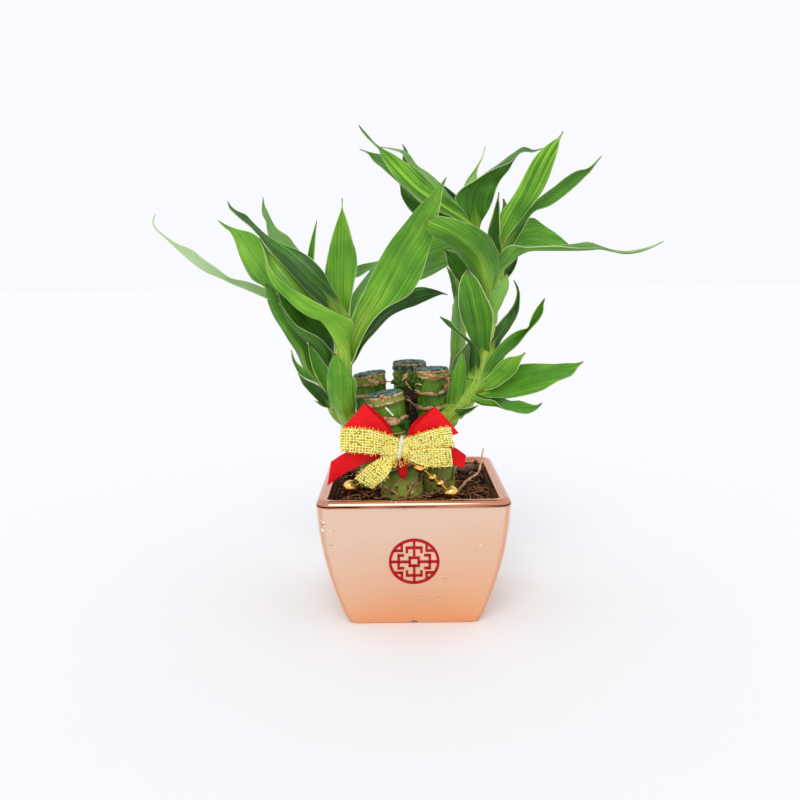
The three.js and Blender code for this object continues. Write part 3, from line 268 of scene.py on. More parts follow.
RIGHT_BACK_LEAVES = [
    blade([(34.6, 11, 204.7, 37, 13, 204.8, 39.1, 13, 205.8), (25.8, 9.5, 208.4, 30.3, 11.5, 210, 33.6, 12,
        210.6), (16.6, 6.5, 213.3, 21.5, 9, 215.5, 25.9, 9.5, 216.8), (7.5, 3.5, 217, 12.9, 6, 220.7, 18.2, 7,
        222.1), (-1.5, 1, 225, 4.3, 3.5, 226.2, 9.7, 5, 228.9), (-7.2, -1, 230, -1.4, 2, 231.5, 3.9, 4,
        234.4), (-11.5, -1.5, 235.4, -7.1, 1, 237.7, -2.4, 3, 238.4), (-14.5, -2.5, 240.4, -11.7, 0, 242.2,
        -8.6, 1.5, 242.4), (-16, -2, 244.4, -15.3, -0.5, 244.9, -13.5, 1, 244.7), (-18.3, -2, 246.8, -18.1,
        -0.5, 247.3, -17.9, 0.5, 247.7), (-21.9, -1.5, 250.3, -21.6, -0.5, 250.7, -21.1, 0, 251.3), (-24.7,
        -0.5, 253.9, -24.5, 0, 254.3, -24.1, 0.5, 254.6), (-26.3, 0, 257)], tone=0.55, wave=0.2, stripe=0.9),
    blade([(35, 15, 206, 36.2, 16, 207.1, 37.2, 16, 208.1), (22, 17, 211.5, 23.2, 18, 213.7, 24.9, 18, 215.9),
        (7.9, 18, 217.6, 9.6, 19, 220.3, 11.8, 19.5, 223), (-2.9, 18.5, 227.1, -0.1, 20, 229.6, 2.6, 20.5,
        232.3), (-10.5, 19, 233.8, -7.2, 20.5, 236, -3.9, 21.5, 238.8), (-15.3, 19.5, 237.9, -12, 21, 240.4,
        -9.3, 22, 243.1), (-19.4, 21, 241.2, -16.9, 22, 243.2, -14.7, 22.5, 245.1), (-21.8, 22, 244.8, -20.7,
        22.5, 245.2, -19.6, 23, 246), (-24, 22.5, 246.6, -23.8, 23, 246.9, -23.7, 23.5, 247.1), (-27.2, 23,
        248.2)], tone=0.3, wave=0.3),
    blade([(30.8, 17, 206.1, 33.1, 18, 208.3, 35.2, 18, 210.4), (16.8, 21.5, 206.5, 19.7, 23, 213.6, 22.5, 24,
        219.6), (5.9, 24.5, 211.1, 10.4, 27, 219.4, 15, 29, 225.5), (-0.2, 27, 216.2, 3.3, 30, 224.1, 8.5, 33,
        231.4), (-4.5, 30, 224.1, -2.2, 32, 228.7, 1.8, 34, 234.8), (-5, 31.5, 229.7, -5, 33, 232.6, -3.3,
        34.5, 237.1), (-7.2, 34, 237.1)], tone=0.3),
    blade([(31.9, 17, 208.2, 34.1, 18, 209.3, 36.3, 18, 210.4), (15.9, 24.5, 221.8, 19.8, 26, 223.5, 22.6,
        25.5, 226.2), (1.7, 28.5, 233.1, 6.1, 30, 233.8, 10.6, 29.5, 234.2), (-3.2, 32, 242.8, 0.1, 34, 240.8,
        4.6, 33, 238.8), (-3, 35.5, 247, -1.5, 37, 246.1, 1, 36.5, 245.7), (-2.7, 38, 250.1, -2.3, 39, 250.2,
        -0.9, 38.5, 249.6), (-3.5, 40, 253.4)], tone=0.05, wave=0.2),
    blade([(34.2, 18, 206.1, 35.9, 19, 208.3, 37.5, 19, 209.9), (18.9, 20, 218.2, 22.3, 21, 219.8, 24, 21.5,
        220.9), (11.4, 22, 225.9, 15.3, 23, 227.6, 17.5, 23.5, 229.2), (5.4, 24, 232.6, 8.8, 25, 234, 11, 26,
        235.2), (0.6, 26, 238.8, 2.8, 27, 239.6, 4.7, 28, 239.7), (-3.8, 27, 246.1, -2.7, 27.5, 246.7, -1, 28,
        247), (-8.2, 27.5, 248.1, -7.9, 28, 248.5, -7.6, 28.5, 248.9), (-15.9, 28, 249.9)], tone=0.5,
        pale=0.2, wave=0.2),
    blade([(34.7, 12, 206.9, 37.1, 14, 204.3, 38.5, 12, 207.3), (29.1, 10, 213.1, 35.7, 12, 212.1, 41.4, 9,
        212.4), (24.2, 9, 219.9, 34.5, 10.5, 218.8, 43.8, 7, 217.7), (27.9, 8, 225.2, 36.5, 9, 225.2, 45.6, 5,
        223.9), (33.9, 4.5, 228.8, 40.6, 8, 230.7, 48.5, 7.5, 229.6), (39.9, 2, 232.1, 45.3, 7.5, 235.5, 52.9,
        9, 234.6), (45.9, -0.5, 234.7, 49.4, 6.5, 238.7, 55.1, 10.5, 238.8), (50.5, -1, 236.4, 52.9, 5.5,
        241.3, 56.2, 10.5, 240.4), (54.1, -0.5, 239, 55.9, 5, 243.2, 57.7, 10, 242.4), (57.3, 0, 242, 58.4,
        4.5, 244.9, 59, 8.5, 244.1), (60.5, 1, 242.8, 60.7, 4, 245.3, 61.4, 7, 244.7), (64.3, 2, 242.5, 64.6,
        3.5, 243.7, 64.9, 5, 243.3), (70.2, 3, 244.8)], tone=0.3, wave=0.2),
    blade([(33.1, 19, 212.1, 35.4, 20, 213.2, 37.5, 19, 214.7), (29.7, 25, 224.9, 33.1, 26, 226.1, 36.4, 25,
        227.6), (31.7, 29, 231.3, 34.6, 30, 231.9, 38.1, 29, 232.8), (34.9, 31, 235.8, 36.7, 32, 236.4, 38,
        31, 236.8), (38.1, 32.5, 239.7, 38.7, 33, 240, 39.1, 32.5, 240.2), (40.7, 33.5, 243.9, 41.1, 34, 244,
        41.3, 33.5, 244.1), (43, 35, 250.8)], tone=0.6, pale=0.4, wave=0.3),
    blade([(25.9, 10, 186.7, 28.2, 12, 190.4, 30.3, 11, 196.6), (19.4, 9, 184.1, 21.7, 11, 190.5, 22.7, 10.5,
        202.8), (12.8, 8, 180.4, 14, 10, 188.4, 15.1, 10, 201.3), (5.2, 7, 177.3, 5.8, 9, 185.8, 5.9, 9.5,
        196.3), (-3.5, 6, 176.3, -3.4, 8, 184.8, -3.3, 9, 192.3), (-12.1, 6, 177.5, -12, 7.5, 184.4, -12, 8.5,
        190.2), (-20.6, 6, 182.9, -19.5, 7, 185.3, -17.9, 7.5, 187.6), (-28.8, 5.5, 179, -28.2, 6.5, 182.4,
        -27.6, 7, 185.6), (-38.9, 5, 180.4)], tone=0.42, pale=0.12),
    blade([(32.2, 7, 166.3, 34.5, 8, 167.8, 39.2, 7, 171.5), (25.9, 2.5, 176.1, 29.3, 4, 177.1, 35.4, 3,
        179.8), (21.7, -1, 181.4, 25.3, 1, 183.5, 32.2, 0, 186.5), (19.5, -2.5, 186.1, 21.9, -1, 188.2, 26.8,
        -1.5, 190.8), (18.7, -2, 190.3, 19.8, -1, 191.1, 21.9, -1.5, 192), (17.2, -1, 193.7)], tone=0.2),
    blade([(23.2, 9, 166.3, 24.9, 10, 165.2, 26.4, 9, 166.3), (21.9, 6, 175.5, 23.6, 7, 175, 25.1, 6, 175),
        (20.2, 4.5, 181.4, 21.5, 5, 181.4, 22.8, 4.5, 180.3), (19.3, 4, 184.3)], tone=0.6, pale=0.2,
        wave=0.1),
    blade([(22.3, 4, 116.4, 25.2, 6, 114.9, 30.1, 4, 117.4), (21.6, 1.5, 126.1, 25.5, 3, 124.8, 31.5, 1.5,
        126.6), (22.6, 0, 133.9, 27, 1, 133.7, 32.8, 0, 134.3), (26.3, -0.5, 139.1, 29, 0, 139.5, 32.6, -0.5,
        139.8), (31.4, 0, 144.6)], tone=0.35, pale=0.25, wave=0.2),
    blade([(21.4, 8, 135.8, 24.2, 4, 134, 28, 8, 136.8), (22, 8, 145.7, 24.4, 3.5, 144.9, 28.3, 8, 146.7),
        (22.3, 8.5, 154.4, 25, 4, 154.1, 28.6, 8.5, 155.4), (23.2, 9, 161.4, 25, 5, 161.6, 27.8, 9, 162.4),
        (24.6, 6, 170.1)], tone=0.5, pale=0.15, wave=0.1, cast=0.5),
]
# Each shoot: its stem's route, its radius at the foot and at the tip, and its leaves
SHOOTS = {
    "left_front": ([(-19, -12, 95), (-30, -13, 101), (-35.8, -14, 111), (-36.6, -15, 124), (-35.9, -15, 140),
        (-35.6, -14, 161)], (5.4, 3.8), LEFT_FRONT_LEAVES),
    "left_back": ([(-26, 8, 96), (-35, 7, 100), (-42, 7, 108), (-46, 8, 122), (-50, 9, 135), (-54, 10, 147),
        (-57, 9, 154)], (5, 2.2), LEFT_BACK_LEAVES),
    "right_front": ([(14, -4, 99), (22, -8, 107), (30, -9, 118), (37, -8, 131), (40, -7, 148), (42, -6, 166),
        (46, -3, 192)], (5.2, 3.6), RIGHT_FRONT_LEAVES),
    "right_back": ([(4, 15, 102), (14, 15, 107), (23.5, 13, 117), (26.5, 13, 136), (27.5, 13, 155), (27.5, 14,
        174), (28, 15, 191), (34, 16, 203)], (4.2, 3.1), RIGHT_BACK_LEAVES),
}

# Ribbons: the lower and upper edge of each stretch, from the tie outwards, in millimetres
RED_RIBBON = [
    ([(-5.4, -26, 93), (-8.4, -26.5, 93.2), (-21.4, -31, 99.7), (-30.4, -31, 102.7), (-36.4, -28, 102.7),
        (-32.4, -25, 101.7), (-22.4, -24, 97.7), (-8.4, -25, 93.2), (-5.4, -25, 93)], [(-5.4, -26, 97), (-8.4,
        -26.5, 97.2), (-15.4, -30, 106.7), (-21.4, -30, 112.7), (-24.4, -27, 115.7), (-20.4, -25, 112.7),
        (-13.4, -25, 105.7), (-8.4, -25, 97.2), (-5.4, -25, 97)]),
    ([(-6.4, -26, 93), (-3.4, -26.5, 93.2), (9.6, -31, 97.7), (17.6, -31, 98.7), (23.6, -27, 99.7), (18.6,
        -23, 98.7), (8.6, -22, 94.7), (-3.4, -25, 93.2), (-6.4, -25, 93)], [(-6.4, -26, 97), (-3.4, -26.5,
        97.2), (2.6, -31, 105.7), (8.6, -31, 111.7), (11.6, -27, 113.7), (6.6, -23, 109.7), (-0.4, -23,
        103.7), (-3.4, -25, 97.2), (-6.4, -25, 97)]),
    ([(-5.4, -25.5, 88.1), (-20.4, -30, 86.7), (-34.4, -33, 80.7), (-43.4, -38, 75.7)], [(-5.4, -25.5, 92.2),
        (-20.4, -30, 92.7), (-33.4, -33, 91.7), (-41.4, -37, 87.7)]),
    ([(-6.4, -25.5, 88.1), (7.6, -28, 85.7), (19.6, -28, 83.7), (26.6, -26, 80.7)], [(-6.4, -25.5, 92.2),
        (8.6, -28, 92.7), (20.6, -28, 92.7), (27.6, -26, 87.7)]),
    ([(-7, -25.2, 91.7), (-7.4, -25.8, 83.7), (-7.2, -26, 78), (-6, -26, 76)], [(-2.6, -25.2, 91.7), (-2.9,
        -25.8, 83.7), (-3.2, -26, 78), (-4.4, -26, 76)]),
]
GOLD_RIBBON = [
    ([(-5.4, -29.6, 89.7), (-8.4, -30, 89.7), (-21.4, -35.5, 91.7), (-31.4, -35.5, 92.7), (-36.4, -34, 92.7),
        (-31.4, -32.8, 92.7), (-21.4, -32.6, 91.7), (-5.4, -29.1, 89.7)], [(-5.4, -29.6, 96.5), (-8.4, -30,
        96.7), (-21.4, -35.5, 102.7), (-31.4, -35.5, 103.7), (-36.4, -34, 103.7), (-31.4, -32.8, 103.7),
        (-21.4, -32.6, 102.7), (-5.4, -29.1, 96.5)]),
    ([(-6.4, -29.6, 90.7), (-4.4, -30, 90.7), (8.6, -35.5, 93.7), (16.6, -35.5, 94.7), (20.6, -34, 94.7),
        (16.6, -32.8, 94.7), (8.6, -32.6, 93.7), (-6.4, -29.1, 90.7)], [(-6.4, -29.6, 96.3), (-4.4, -30,
        96.7), (7.6, -35.5, 101.7), (15.6, -35.5, 103.7), (18.6, -34, 103.7), (15.6, -32.8, 103.7), (7.6,
        -32.6, 101.7), (-6.4, -29.1, 96.3)]),
    ([(-6.4, -29.5, 89), (-3.9, -30, 87.7), (8.6, -36, 84.7), (19.6, -35, 84.7)], [(-6.4, -29.5, 90.5), (-3.9,
        -30, 90.7), (8.6, -38, 93.7), (18.6, -37, 93.7)]),
    ([(-5.4, -29.5, 89.2), (-8.9, -30, 87.7), (-13.4, -34, 79.7), (-21.4, -34, 72.7)], [(-5.4, -29.5, 93.7),
        (-9.4, -30, 91.7), (-23.4, -34, 83.7), (-29.4, -34, 77.7)]),
]
BOW_MIDDLE = -6.6

# Beads on stiff wires: the route of each wire, and its beads by place and radius, in millimetres
BEAD_WIRES = {
    "left": {
        "route": [(-8.2, -27.4, 86), (-17, -26, 80), (-26, -19, 72.5), (-33.4, -12, 67.2), (-36.6, -8.6, 65)],
        "beads": {"bead_left": ((-33.4, -12, 67.2), 4.2)},
    },
    "right": { "route": [(-4.8, -27.4, 86), (3.7, -28.5, 82.4), (10, -26.5, 76.2), (14, -24.6, 72.4), (19.8,
        -24, 67), (23, -23.4, 64)], "beads": { "bead_right_top": ((3.7, -28.5, 82.4), 3.5),
        "bead_right_upper_small": ((10, -26.5, 76.2), 2.2), "bead_right_lower_small": ((14, -24.6, 72.4),
        2.1), "bead_right_bottom": ((19.8, -24, 67), 4), },
    },
}
TIE_HEIGHT = 87.6
ROOT_ROUTE = [(22, -12, 56), (25, -14, 66), (30, -15, 72), (35, -15, 76), (37, -14, 82), (38, -12, 88)]
HUSK = [
    (-11.6, 3, 122.8, -11.5, 3, 122.4, -11.3, 3, 121.8), (-8.6, 2, 125.2, -8.3, 2, 123.1, -8, 2, 120.9),
        (-5.2, 0, 128.2, -5, 0, 124.6, -4.5, 0, 120.6), (-2.6, -2, 129.4, -1.7, -2, 125.7, -0.9, -2, 121.6),
        (0.3, -5, 129, 1.5, -5, 125.8, 2, -5, 121), (2.6, -8, 127, 3.8, -8, 125, 4.3, -8, 122), (6.9, -10.5,
        124.5),
]
# Torn bits of old skin: what each is, and its rows of one edge, the middle and the other edge, then its tip
SCRAPS = [
    ("tan", [(-1.3, -3, 130.2, -0.5, -3, 129.9, 0.3, -3, 129.4), (-2.7, -2.5, 128.3, -2, -2.5, 127.7, -1.3,
        -2.5, 127.1), (-4.5, -2, 126, -3.8, -2, 125.4, -3.2, -2, 124.9), (-5.5, -1.5, 123)]),
    ("tan", [(-25.7, -0.3, 125.1, -20.8, -0.3, 124.4, -15.5, 3.1, 124), (-23.8, -0.6, 123.5, -20.2, -0.2,
        123.2, -16.4, 2.1, 123.4), (-20.8, -0.3, 122.4, -19.3, 0.1, 122.1, -17.9, 0.9, 122.6), (-18.8, 0.3,
        120.6)]),
    ("tan", [(-16.4, -22.9, 119.4, -15.6, -23, 119.5, -14.9, -23, 119.1), (-16.9, -22.8, 117.5, -15.8, -23,
        117.5, -14.7, -23, 117.2), (-16.5, -22.9, 116, -15.7, -23, 115.8, -14.7, -23, 116), (-15.4, -23,
        115.1)]),
    ("pale", [(-14.3, -23.1, 112.7, -13.9, -23.1, 112.9, -13.6, -23, 113), (-13.2, -23, 111.3, -12.7, -23,
        111.6, -12.3, -22.9, 111.9), (-11.8, -22.9, 109.8, -11.4, -22.8, 110.2, -10.9, -22.7, 110.3), (-10.7,
        -22.8, 108.6, -10.2, -22.6, 108.9, -9.7, -22.5, 108.8), (-9.8, -22.5, 108.1)]),
    ("tan", [(-16.2, -22.7, 107.9, -15.8, -22.8, 107.1, -15.2, -22.9, 106.1), (-13.2, -23.1, 107.8, -13,
        -23.1, 105.7, -12.4, -23.1, 103.5), (-9.8, -22.6, 107.4, -9.5, -22.6, 105.5, -9.3, -22.7, 103.4), (-7,
        -21.3, 106.7, -7, -21.5, 105.3, -6.7, -21.5, 103.8), (-5.2, -19.8, 107.6, -4.7, -19.5, 106.3, -4.1,
        -19, 105.3), (-3, -16.6, 107.7, -2.7, -16.4, 106.6, -2.5, -16.1, 105.7), (-2.1, -14.3, 106.5)]),
    ("green", [(-6.9, -21.9, 104.2, -6.6, -21.9, 103, -6.2, -21.7, 102.1), (-4.8, -20.1, 106, -4.4, -20.2,
        103.6, -4.2, -20.3, 101.1), (-2.9, -17.5, 106.5, -2.4, -17.3, 103.9, -2.1, -17.8, 100.9), (-1.1,
        -14.1, 103.8)]),
    # A near-black sheet in the gap between the canes: painted shade over what is left of an old sheath
    ("dark", [(-2.9, -5, 119.1, -0.3, -5, 119.5, 2.9, -5, 118), (-3.2, -5, 114.2, 0.2, -5, 114.1, 3.6, -5,
        113.5), (-3, -5, 110, 0.2, -5, 109.3, 4.1, -5, 109.3), (-2.2, -5, 105.7, 0.7, -5, 105.1, 3.8, -5,
        105.7), (-1.7, -5, 102.1, 0.4, -5, 101.5, 2.8, -5, 102.1), (-1.1, -5, 97.3, 0.1, -5, 96.6, 1.9, -5,
        97.2), (0.4, -5, 93.6)]),
    ("tan", [(3.9, -8.7, 129.1, 4.3, -9, 128.6, 4.9, -9.4, 127.9), (7.8, -10.8, 129.1, 8.1, -10.9, 128.2, 8.4,
        -10.9, 127.4), (11.3, -11.2, 128.1, 11.5, -11.2, 127.4, 11.9, -11.1, 126.6), (14.8, -10.3, 127.2,
        14.9, -10.3, 126.6, 15.1, -10.2, 126.1), (16.6, -9.3, 126.7)]),
    ("tan", [(16.4, -9.5, 122.8, 17.2, -8.9, 122, 17.5, -8.7, 120.5), (18.2, -7, 122.5, 19, -7, 121.1, 18.9,
        -7, 119.6), (19.9, -8, 121.2, 20.2, -8, 120.4, 20, -8, 119.3), (20.9, -8, 118)]),
    ("tan", [(16, -9.7, 126.8, 16.8, -9.1, 126.2, 17.2, -8.8, 125.1), (17.6, -7, 126.2, 18.2, -7, 125.3, 18.3,
        -7, 124), (18.9, -8, 126, 19.3, -8, 125, 19.2, -8, 123.9), (20.7, -8, 125.7)]),
]
# Dry threads: the route and the radius of each
THREADS = [
    ([(-2.9, -5, 124.2), (-2.4, -5, 122.4), (-0.9, -5, 120.4), (0.5, -5, 118.8), (2.1, -5, 118.7)], 0.45),
    ([(5.2, -9, 122), (3.6, -9, 122.9), (2.3, -9, 122.9), (2, -9, 122.2)], 0.55),
    ([(16.4, -7, 126.2), (17.4, -7, 123.8), (16.9, -7, 120.8), (17.7, -7, 117.1)], 0.3),
    ([(17.5, -8, 126.6), (19, -8, 124.4), (20.2, -8, 122.6), (22.2, -8, 123.7)], 0.28),
    ([(16.7, -7.5, 123), (19, -7.5, 122.2), (20.9, -7.5, 120.7), (20.1, -7.5, 117.6)], 0.33),
    ([(17.2, -7.5, 119), (18.9, -7.5, 119.8), (19.7, -7.5, 117.2), (18.7, -7.5, 116.4)], 0.3),
    ([(19.7, -8, 125), (18.7, -8, 122.1), (19.5, -8, 119.1), (18.1, -8, 118)], 0.25),
    ([(16.1, -7.5, 125.4), (17.6, -7.5, 125.2), (19.6, -7.5, 126), (21.8, -7.5, 125.4)], 0.28),
    ([(-2.8, -7, 114), (-0.4, -7, 112.7), (1.9, -7, 110.3), (3.3, -7, 107.5)], 0.28),
    ([(-2.5, -7.5, 114.6), (0.7, -7.5, 112.2), (2.6, -7.5, 111.2), (5.1, -7.5, 110.3)], 0.3),
    ([(-2.7, -6.5, 116.3), (-1, -6.5, 114.4), (-0.4, -6.5, 112), (-1, -6.5, 108.4)], 0.2),
    ([(-13.6, 1, 123.3), (-12.2, 1, 122.7), (-11.1, 1, 123.1), (-10.8, 1, 121.7)], 0.4),
    ([(-9.9, -24.5, 98.9), (-7.6, -24.5, 99.4), (-5.3, -24.5, 99.8), (-3.7, -24.5, 100.6)], 0.3),
]


# Geometry helpers

def run_along(line):
    """How far along a line each of its points lies."""
    return np.concatenate([[0], np.cumsum(np.linalg.norm(np.diff(line, axis=0), axis=1))])


def smooth_route(points, count):
    """Evenly spaced places along a smooth curve through the points."""
    def mix(a, b, start, end, t):
        return a * (end - t) / (end - start) + b * (t - start) / (end - start)

    pts = [np.array(p, float) for p in points]
    pts = [2 * pts[0] - pts[1], *pts, 2 * pts[-1] - pts[-2]]
    dense = []
    for a, b, c, d in zip(pts, pts[1:], pts[2:], pts[3:]):
        t1, t2, t3 = np.cumsum([
            np.linalg.norm(end - start) ** 0.5 for start, end in ((a, b), (b, c), (c, d))])
        for t in np.linspace(t1, t2, 24, endpoint=False):
            ab, bc, cd = mix(a, b, 0, t1, t), mix(b, c, t1, t2, t), mix(c, d, t2, t3, t)
            dense.append(mix(mix(ab, bc, 0, t2, t), mix(bc, cd, t1, t3, t), t1, t2, t))
    dense = np.array([*dense, pts[-2]])
    run = run_along(dense)
    even = np.linspace(0, run[-1], count)
    return np.stack([np.interp(even, run, dense[:, k]) for k in range(dense.shape[1])], axis=1)


def unit(vectors):
    vectors = np.asarray(vectors, float)
    return vectors / np.maximum(np.linalg.norm(vectors, axis=-1, keepdims=True), 1e-9)


def bell(off, width):
    """A smooth bump: 1 at its middle and nearly 0 at twice its width."""
    return math.exp(-(off / width) ** 2)


def select_only(*objects):
    if bpy.context.mode != "OBJECT":
        bpy.ops.object.mode_set(mode="OBJECT")
    bpy.ops.object.select_all(action="DESELECT")
    for obj in objects:
        obj.select_set(True)
    if objects:
        bpy.context.view_layer.objects.active = objects[0]


def modify(obj, kind, **settings):
    """Adds a modifier with its settings and applies it."""
    select_only(obj)
    modifier = obj.modifiers.new(kind.title(), kind)
    for name, value in settings.items():
        setattr(modifier, name, value)
    bpy.ops.object.modifier_apply(modifier=modifier.name)


def join(objects, name):
    select_only(*objects)
    if len(objects) > 1:
        bpy.ops.object.join()
    obj = bpy.context.active_object
    obj.name = obj.data.name = name
    return obj


def paint(obj, *materials):
    obj.data.materials.clear()
    for material in materials:
        obj.data.materials.append(material)


def piece(objects, name, slot, material, *nodes, angle=SMOOTH, where=None):
    """Joins a piece, smooths the edges flatter than an angle in degrees, paints it and hangs it on the
    frame."""
    obj = join(objects, name)
    if where is not None:
        obj.matrix_world = where
        bpy.context.view_layer.update()
    select_only(obj)
    if angle == ALL_SMOOTH:
        bpy.ops.object.shade_smooth()
    elif angle != FLAT:
        bpy.ops.object.shade_smooth_by_angle(angle=math.radians(angle))
    if material is not None:
        paint(obj, material)
    bpy.ops.object.transform_apply(location=True, rotation=True, scale=True)
    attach(obj, "root")
    if nodes:
        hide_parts(*nodes)
    return obj


def store(mesh, name, values):
    """Keeps one number a point as an attribute that materials read."""
    attribute = mesh.attributes.new(name, "FLOAT", "POINT")
    attribute.data.foreach_set("value", np.broadcast_to(values,
        len(mesh.vertices)).astype(np.float32).ravel())


def grid_sheet(name, rows):
    """A grid laid through rows of points, in metres. Across times along looks the way its faces do."""
    along, across = rows.shape[:2]
    select_only()
    bpy.ops.mesh.primitive_grid_add(x_subdivisions=across - 1, y_subdivisions=along - 1, size=1,
        location=(0, 0, 0))
    obj = bpy.context.active_object
    obj.name = name
    flat = np.zeros(along * across * 3, np.float32)
    obj.data.vertices.foreach_get("co", flat)
    flat = flat.reshape(-1, 3)
    j = np.rint((flat[:, 0] + 0.5) * (across - 1)).astype(int)
    i = np.rint((flat[:, 1] + 0.5) * (along - 1)).astype(int)
    obj.data.vertices.foreach_set("co", rows[i, j].astype(np.float32).ravel())
    obj.data.update()
    return obj, i, j


def thin_sheet(name, rows, thickness, stored=None, chart=None, **solidify):
    """A thin sheet through rows of points in millimetres. It can keep tables of numbers as attributes, and a
    chart: a UV map's name, and how far across and along the sheet each point is, in the map's units."""
    obj, i, j = grid_sheet(name, rows * MM)
    mesh = obj.data
    for key, values in (stored or {}).items():
        store(mesh, key, np.broadcast_to(values, rows.shape[:2])[i, j])
    if chart:
        uv = mesh.uv_layers[0]
        uv.name, across, along = chart
        corner = np.zeros(len(mesh.loops), np.int32)
        mesh.loops.foreach_get("vertex_index", corner)
        flat = [np.broadcast_to(values, rows.shape[:2])[i, j][corner] for values in (across, along)]
        uv.data.foreach_set("uv", np.stack(flat, axis=1).astype(np.float32).ravel())
    modify(obj, "SOLIDIFY", thickness=thickness, offset=0.0, **solidify)
    return obj


def tubes(name, routes, sides=6):
    """Round strands along routes of (points, radii), in metres, made as one bevelled curve and turned into a
    mesh."""
    curve = bpy.data.curves.new(name, "CURVE")
    curve.dimensions = "3D"
    curve.bevel_depth = 1
    curve.bevel_resolution = max(sides // 2 - 2, 0)
    curve.use_fill_caps = True
    curve.resolution_u = 1
    for points, radii in routes:
        spline = curve.splines.new("POLY")
        spline.points.add(len(points) - 1)
        spline.points.foreach_set("co", np.column_stack([points, np.ones(len(points))]).ravel())
        spline.points.foreach_set("radius", np.broadcast_to(radii, len(points)).astype(float))
    obj = bpy.data.objects.new(name, curve)
    bpy.context.scene.collection.objects.link(obj)
    select_only(obj)
    bpy.ops.object.convert(target="MESH")
    return bpy.context.active_object


def raise_walls(stations, scale=1.0):
    """Extrudes the selected face through stations of (half width, height)."""
    for (before, low), (after, high) in zip(stations, stations[1:]):
        bpy.ops.mesh.extrude_region_move(TRANSFORM_OT_translate={"value": (0, 0, (high - low) * scale)})
        bpy.ops.transform.resize(value=(after / before, after / before, 1))
    bpy.ops.mesh.select_all(action="SELECT")
    bpy.ops.mesh.normals_make_consistent(inside=False)


def turned(stations):
    """A round solid through stations of (radius, height), in millimetres."""
    select_only()
    bpy.ops.mesh.primitive_circle_add(vertices=72, radius=stations[0][0] * MM, fill_type="NGON",
        location=(0, 0, 0))
    bpy.ops.object.mode_set(mode="EDIT")
    bpy.ops.mesh.select_all(action="SELECT")
    raise_walls(stations, MM)
    bpy.ops.object.mode_set(mode="OBJECT")
    return bpy.context.active_object


def round_rows(levels, columns, at):
    """Rows of points round a cane, in millimetres. at(row, column) gives an angle, a radius and a height."""
    polar = [[at(k, c) for c in range(columns)] for k in range(levels)]
    return np.array([[(math.cos(angle) * r, math.sin(angle) * r, z) for angle, r, z in row] for row in polar])


# Materials

def linear(code):
    """An sRGB hex colour as linear values."""
    channels = [int(code[k:k + 2], 16) / 255 for k in (1, 3, 5)]
    return (*[c / 12.92 if c <= 0.04045 else ((c + 0.055) / 1.055) ** 2.4 for c in channels], 1)


def add_node(tree, kind, inputs=(), out=0, stops=(), **settings):
    """Adds a shader node with its inputs (values or links), ramp stops and settings, and gives one of its
    outputs."""
    node = tree.nodes.new("ShaderNode" + kind)
    for name, value in settings.items():
        setattr(node, name, value)
    for key, value in inputs.items() if isinstance(inputs, dict) else enumerate(inputs):
        if isinstance(value, bpy.types.NodeSocket):
            tree.links.new(value, node.inputs[key])
        else:
            node.inputs[key].default_value = value
    if stops:
        elements = node.color_ramp.elements
        while len(elements) < len(stops):
            elements.new(0.5)
        for element, (place, code) in zip(elements, stops):
            element.position, element.color = place, linear(code)
    return node.outputs[out] if node.outputs else node


def new_material(name):
    """An empty material, and the node-adding function with the material's tree filled in."""
    material = bpy.data.materials.new(name)
    material.use_nodes = True
    material.node_tree.nodes.clear()
    return material, functools.partial(add_node, material.node_tree)


def close(material, values):
    """Ends a material in one shader, with its uniform numbers set directly on the shader's sockets."""
    shader = add_node(material.node_tree, "BsdfPrincipled", values)
    add_node(material.node_tree, "OutputMaterial", {"Surface": shader})
    return material


def grained(name, grain, stops, relief, values):
    """A finish whose colour and relief follow one grain: noise inputs, ramp stops, the bump's strength and
    distance."""
    material, add = new_material(name)
    fleck = add("TexNoise", {"Vector": add("TexCoord", out="Object"), **grain})
    values = {"Base Color": add("ValToRGB", [fleck], stops=stops), **values}
    if relief:
        values["Normal"] = add("Bump", {"Strength": relief[0], "Distance": relief[1], "Height": fleck})
    return close(material, values)


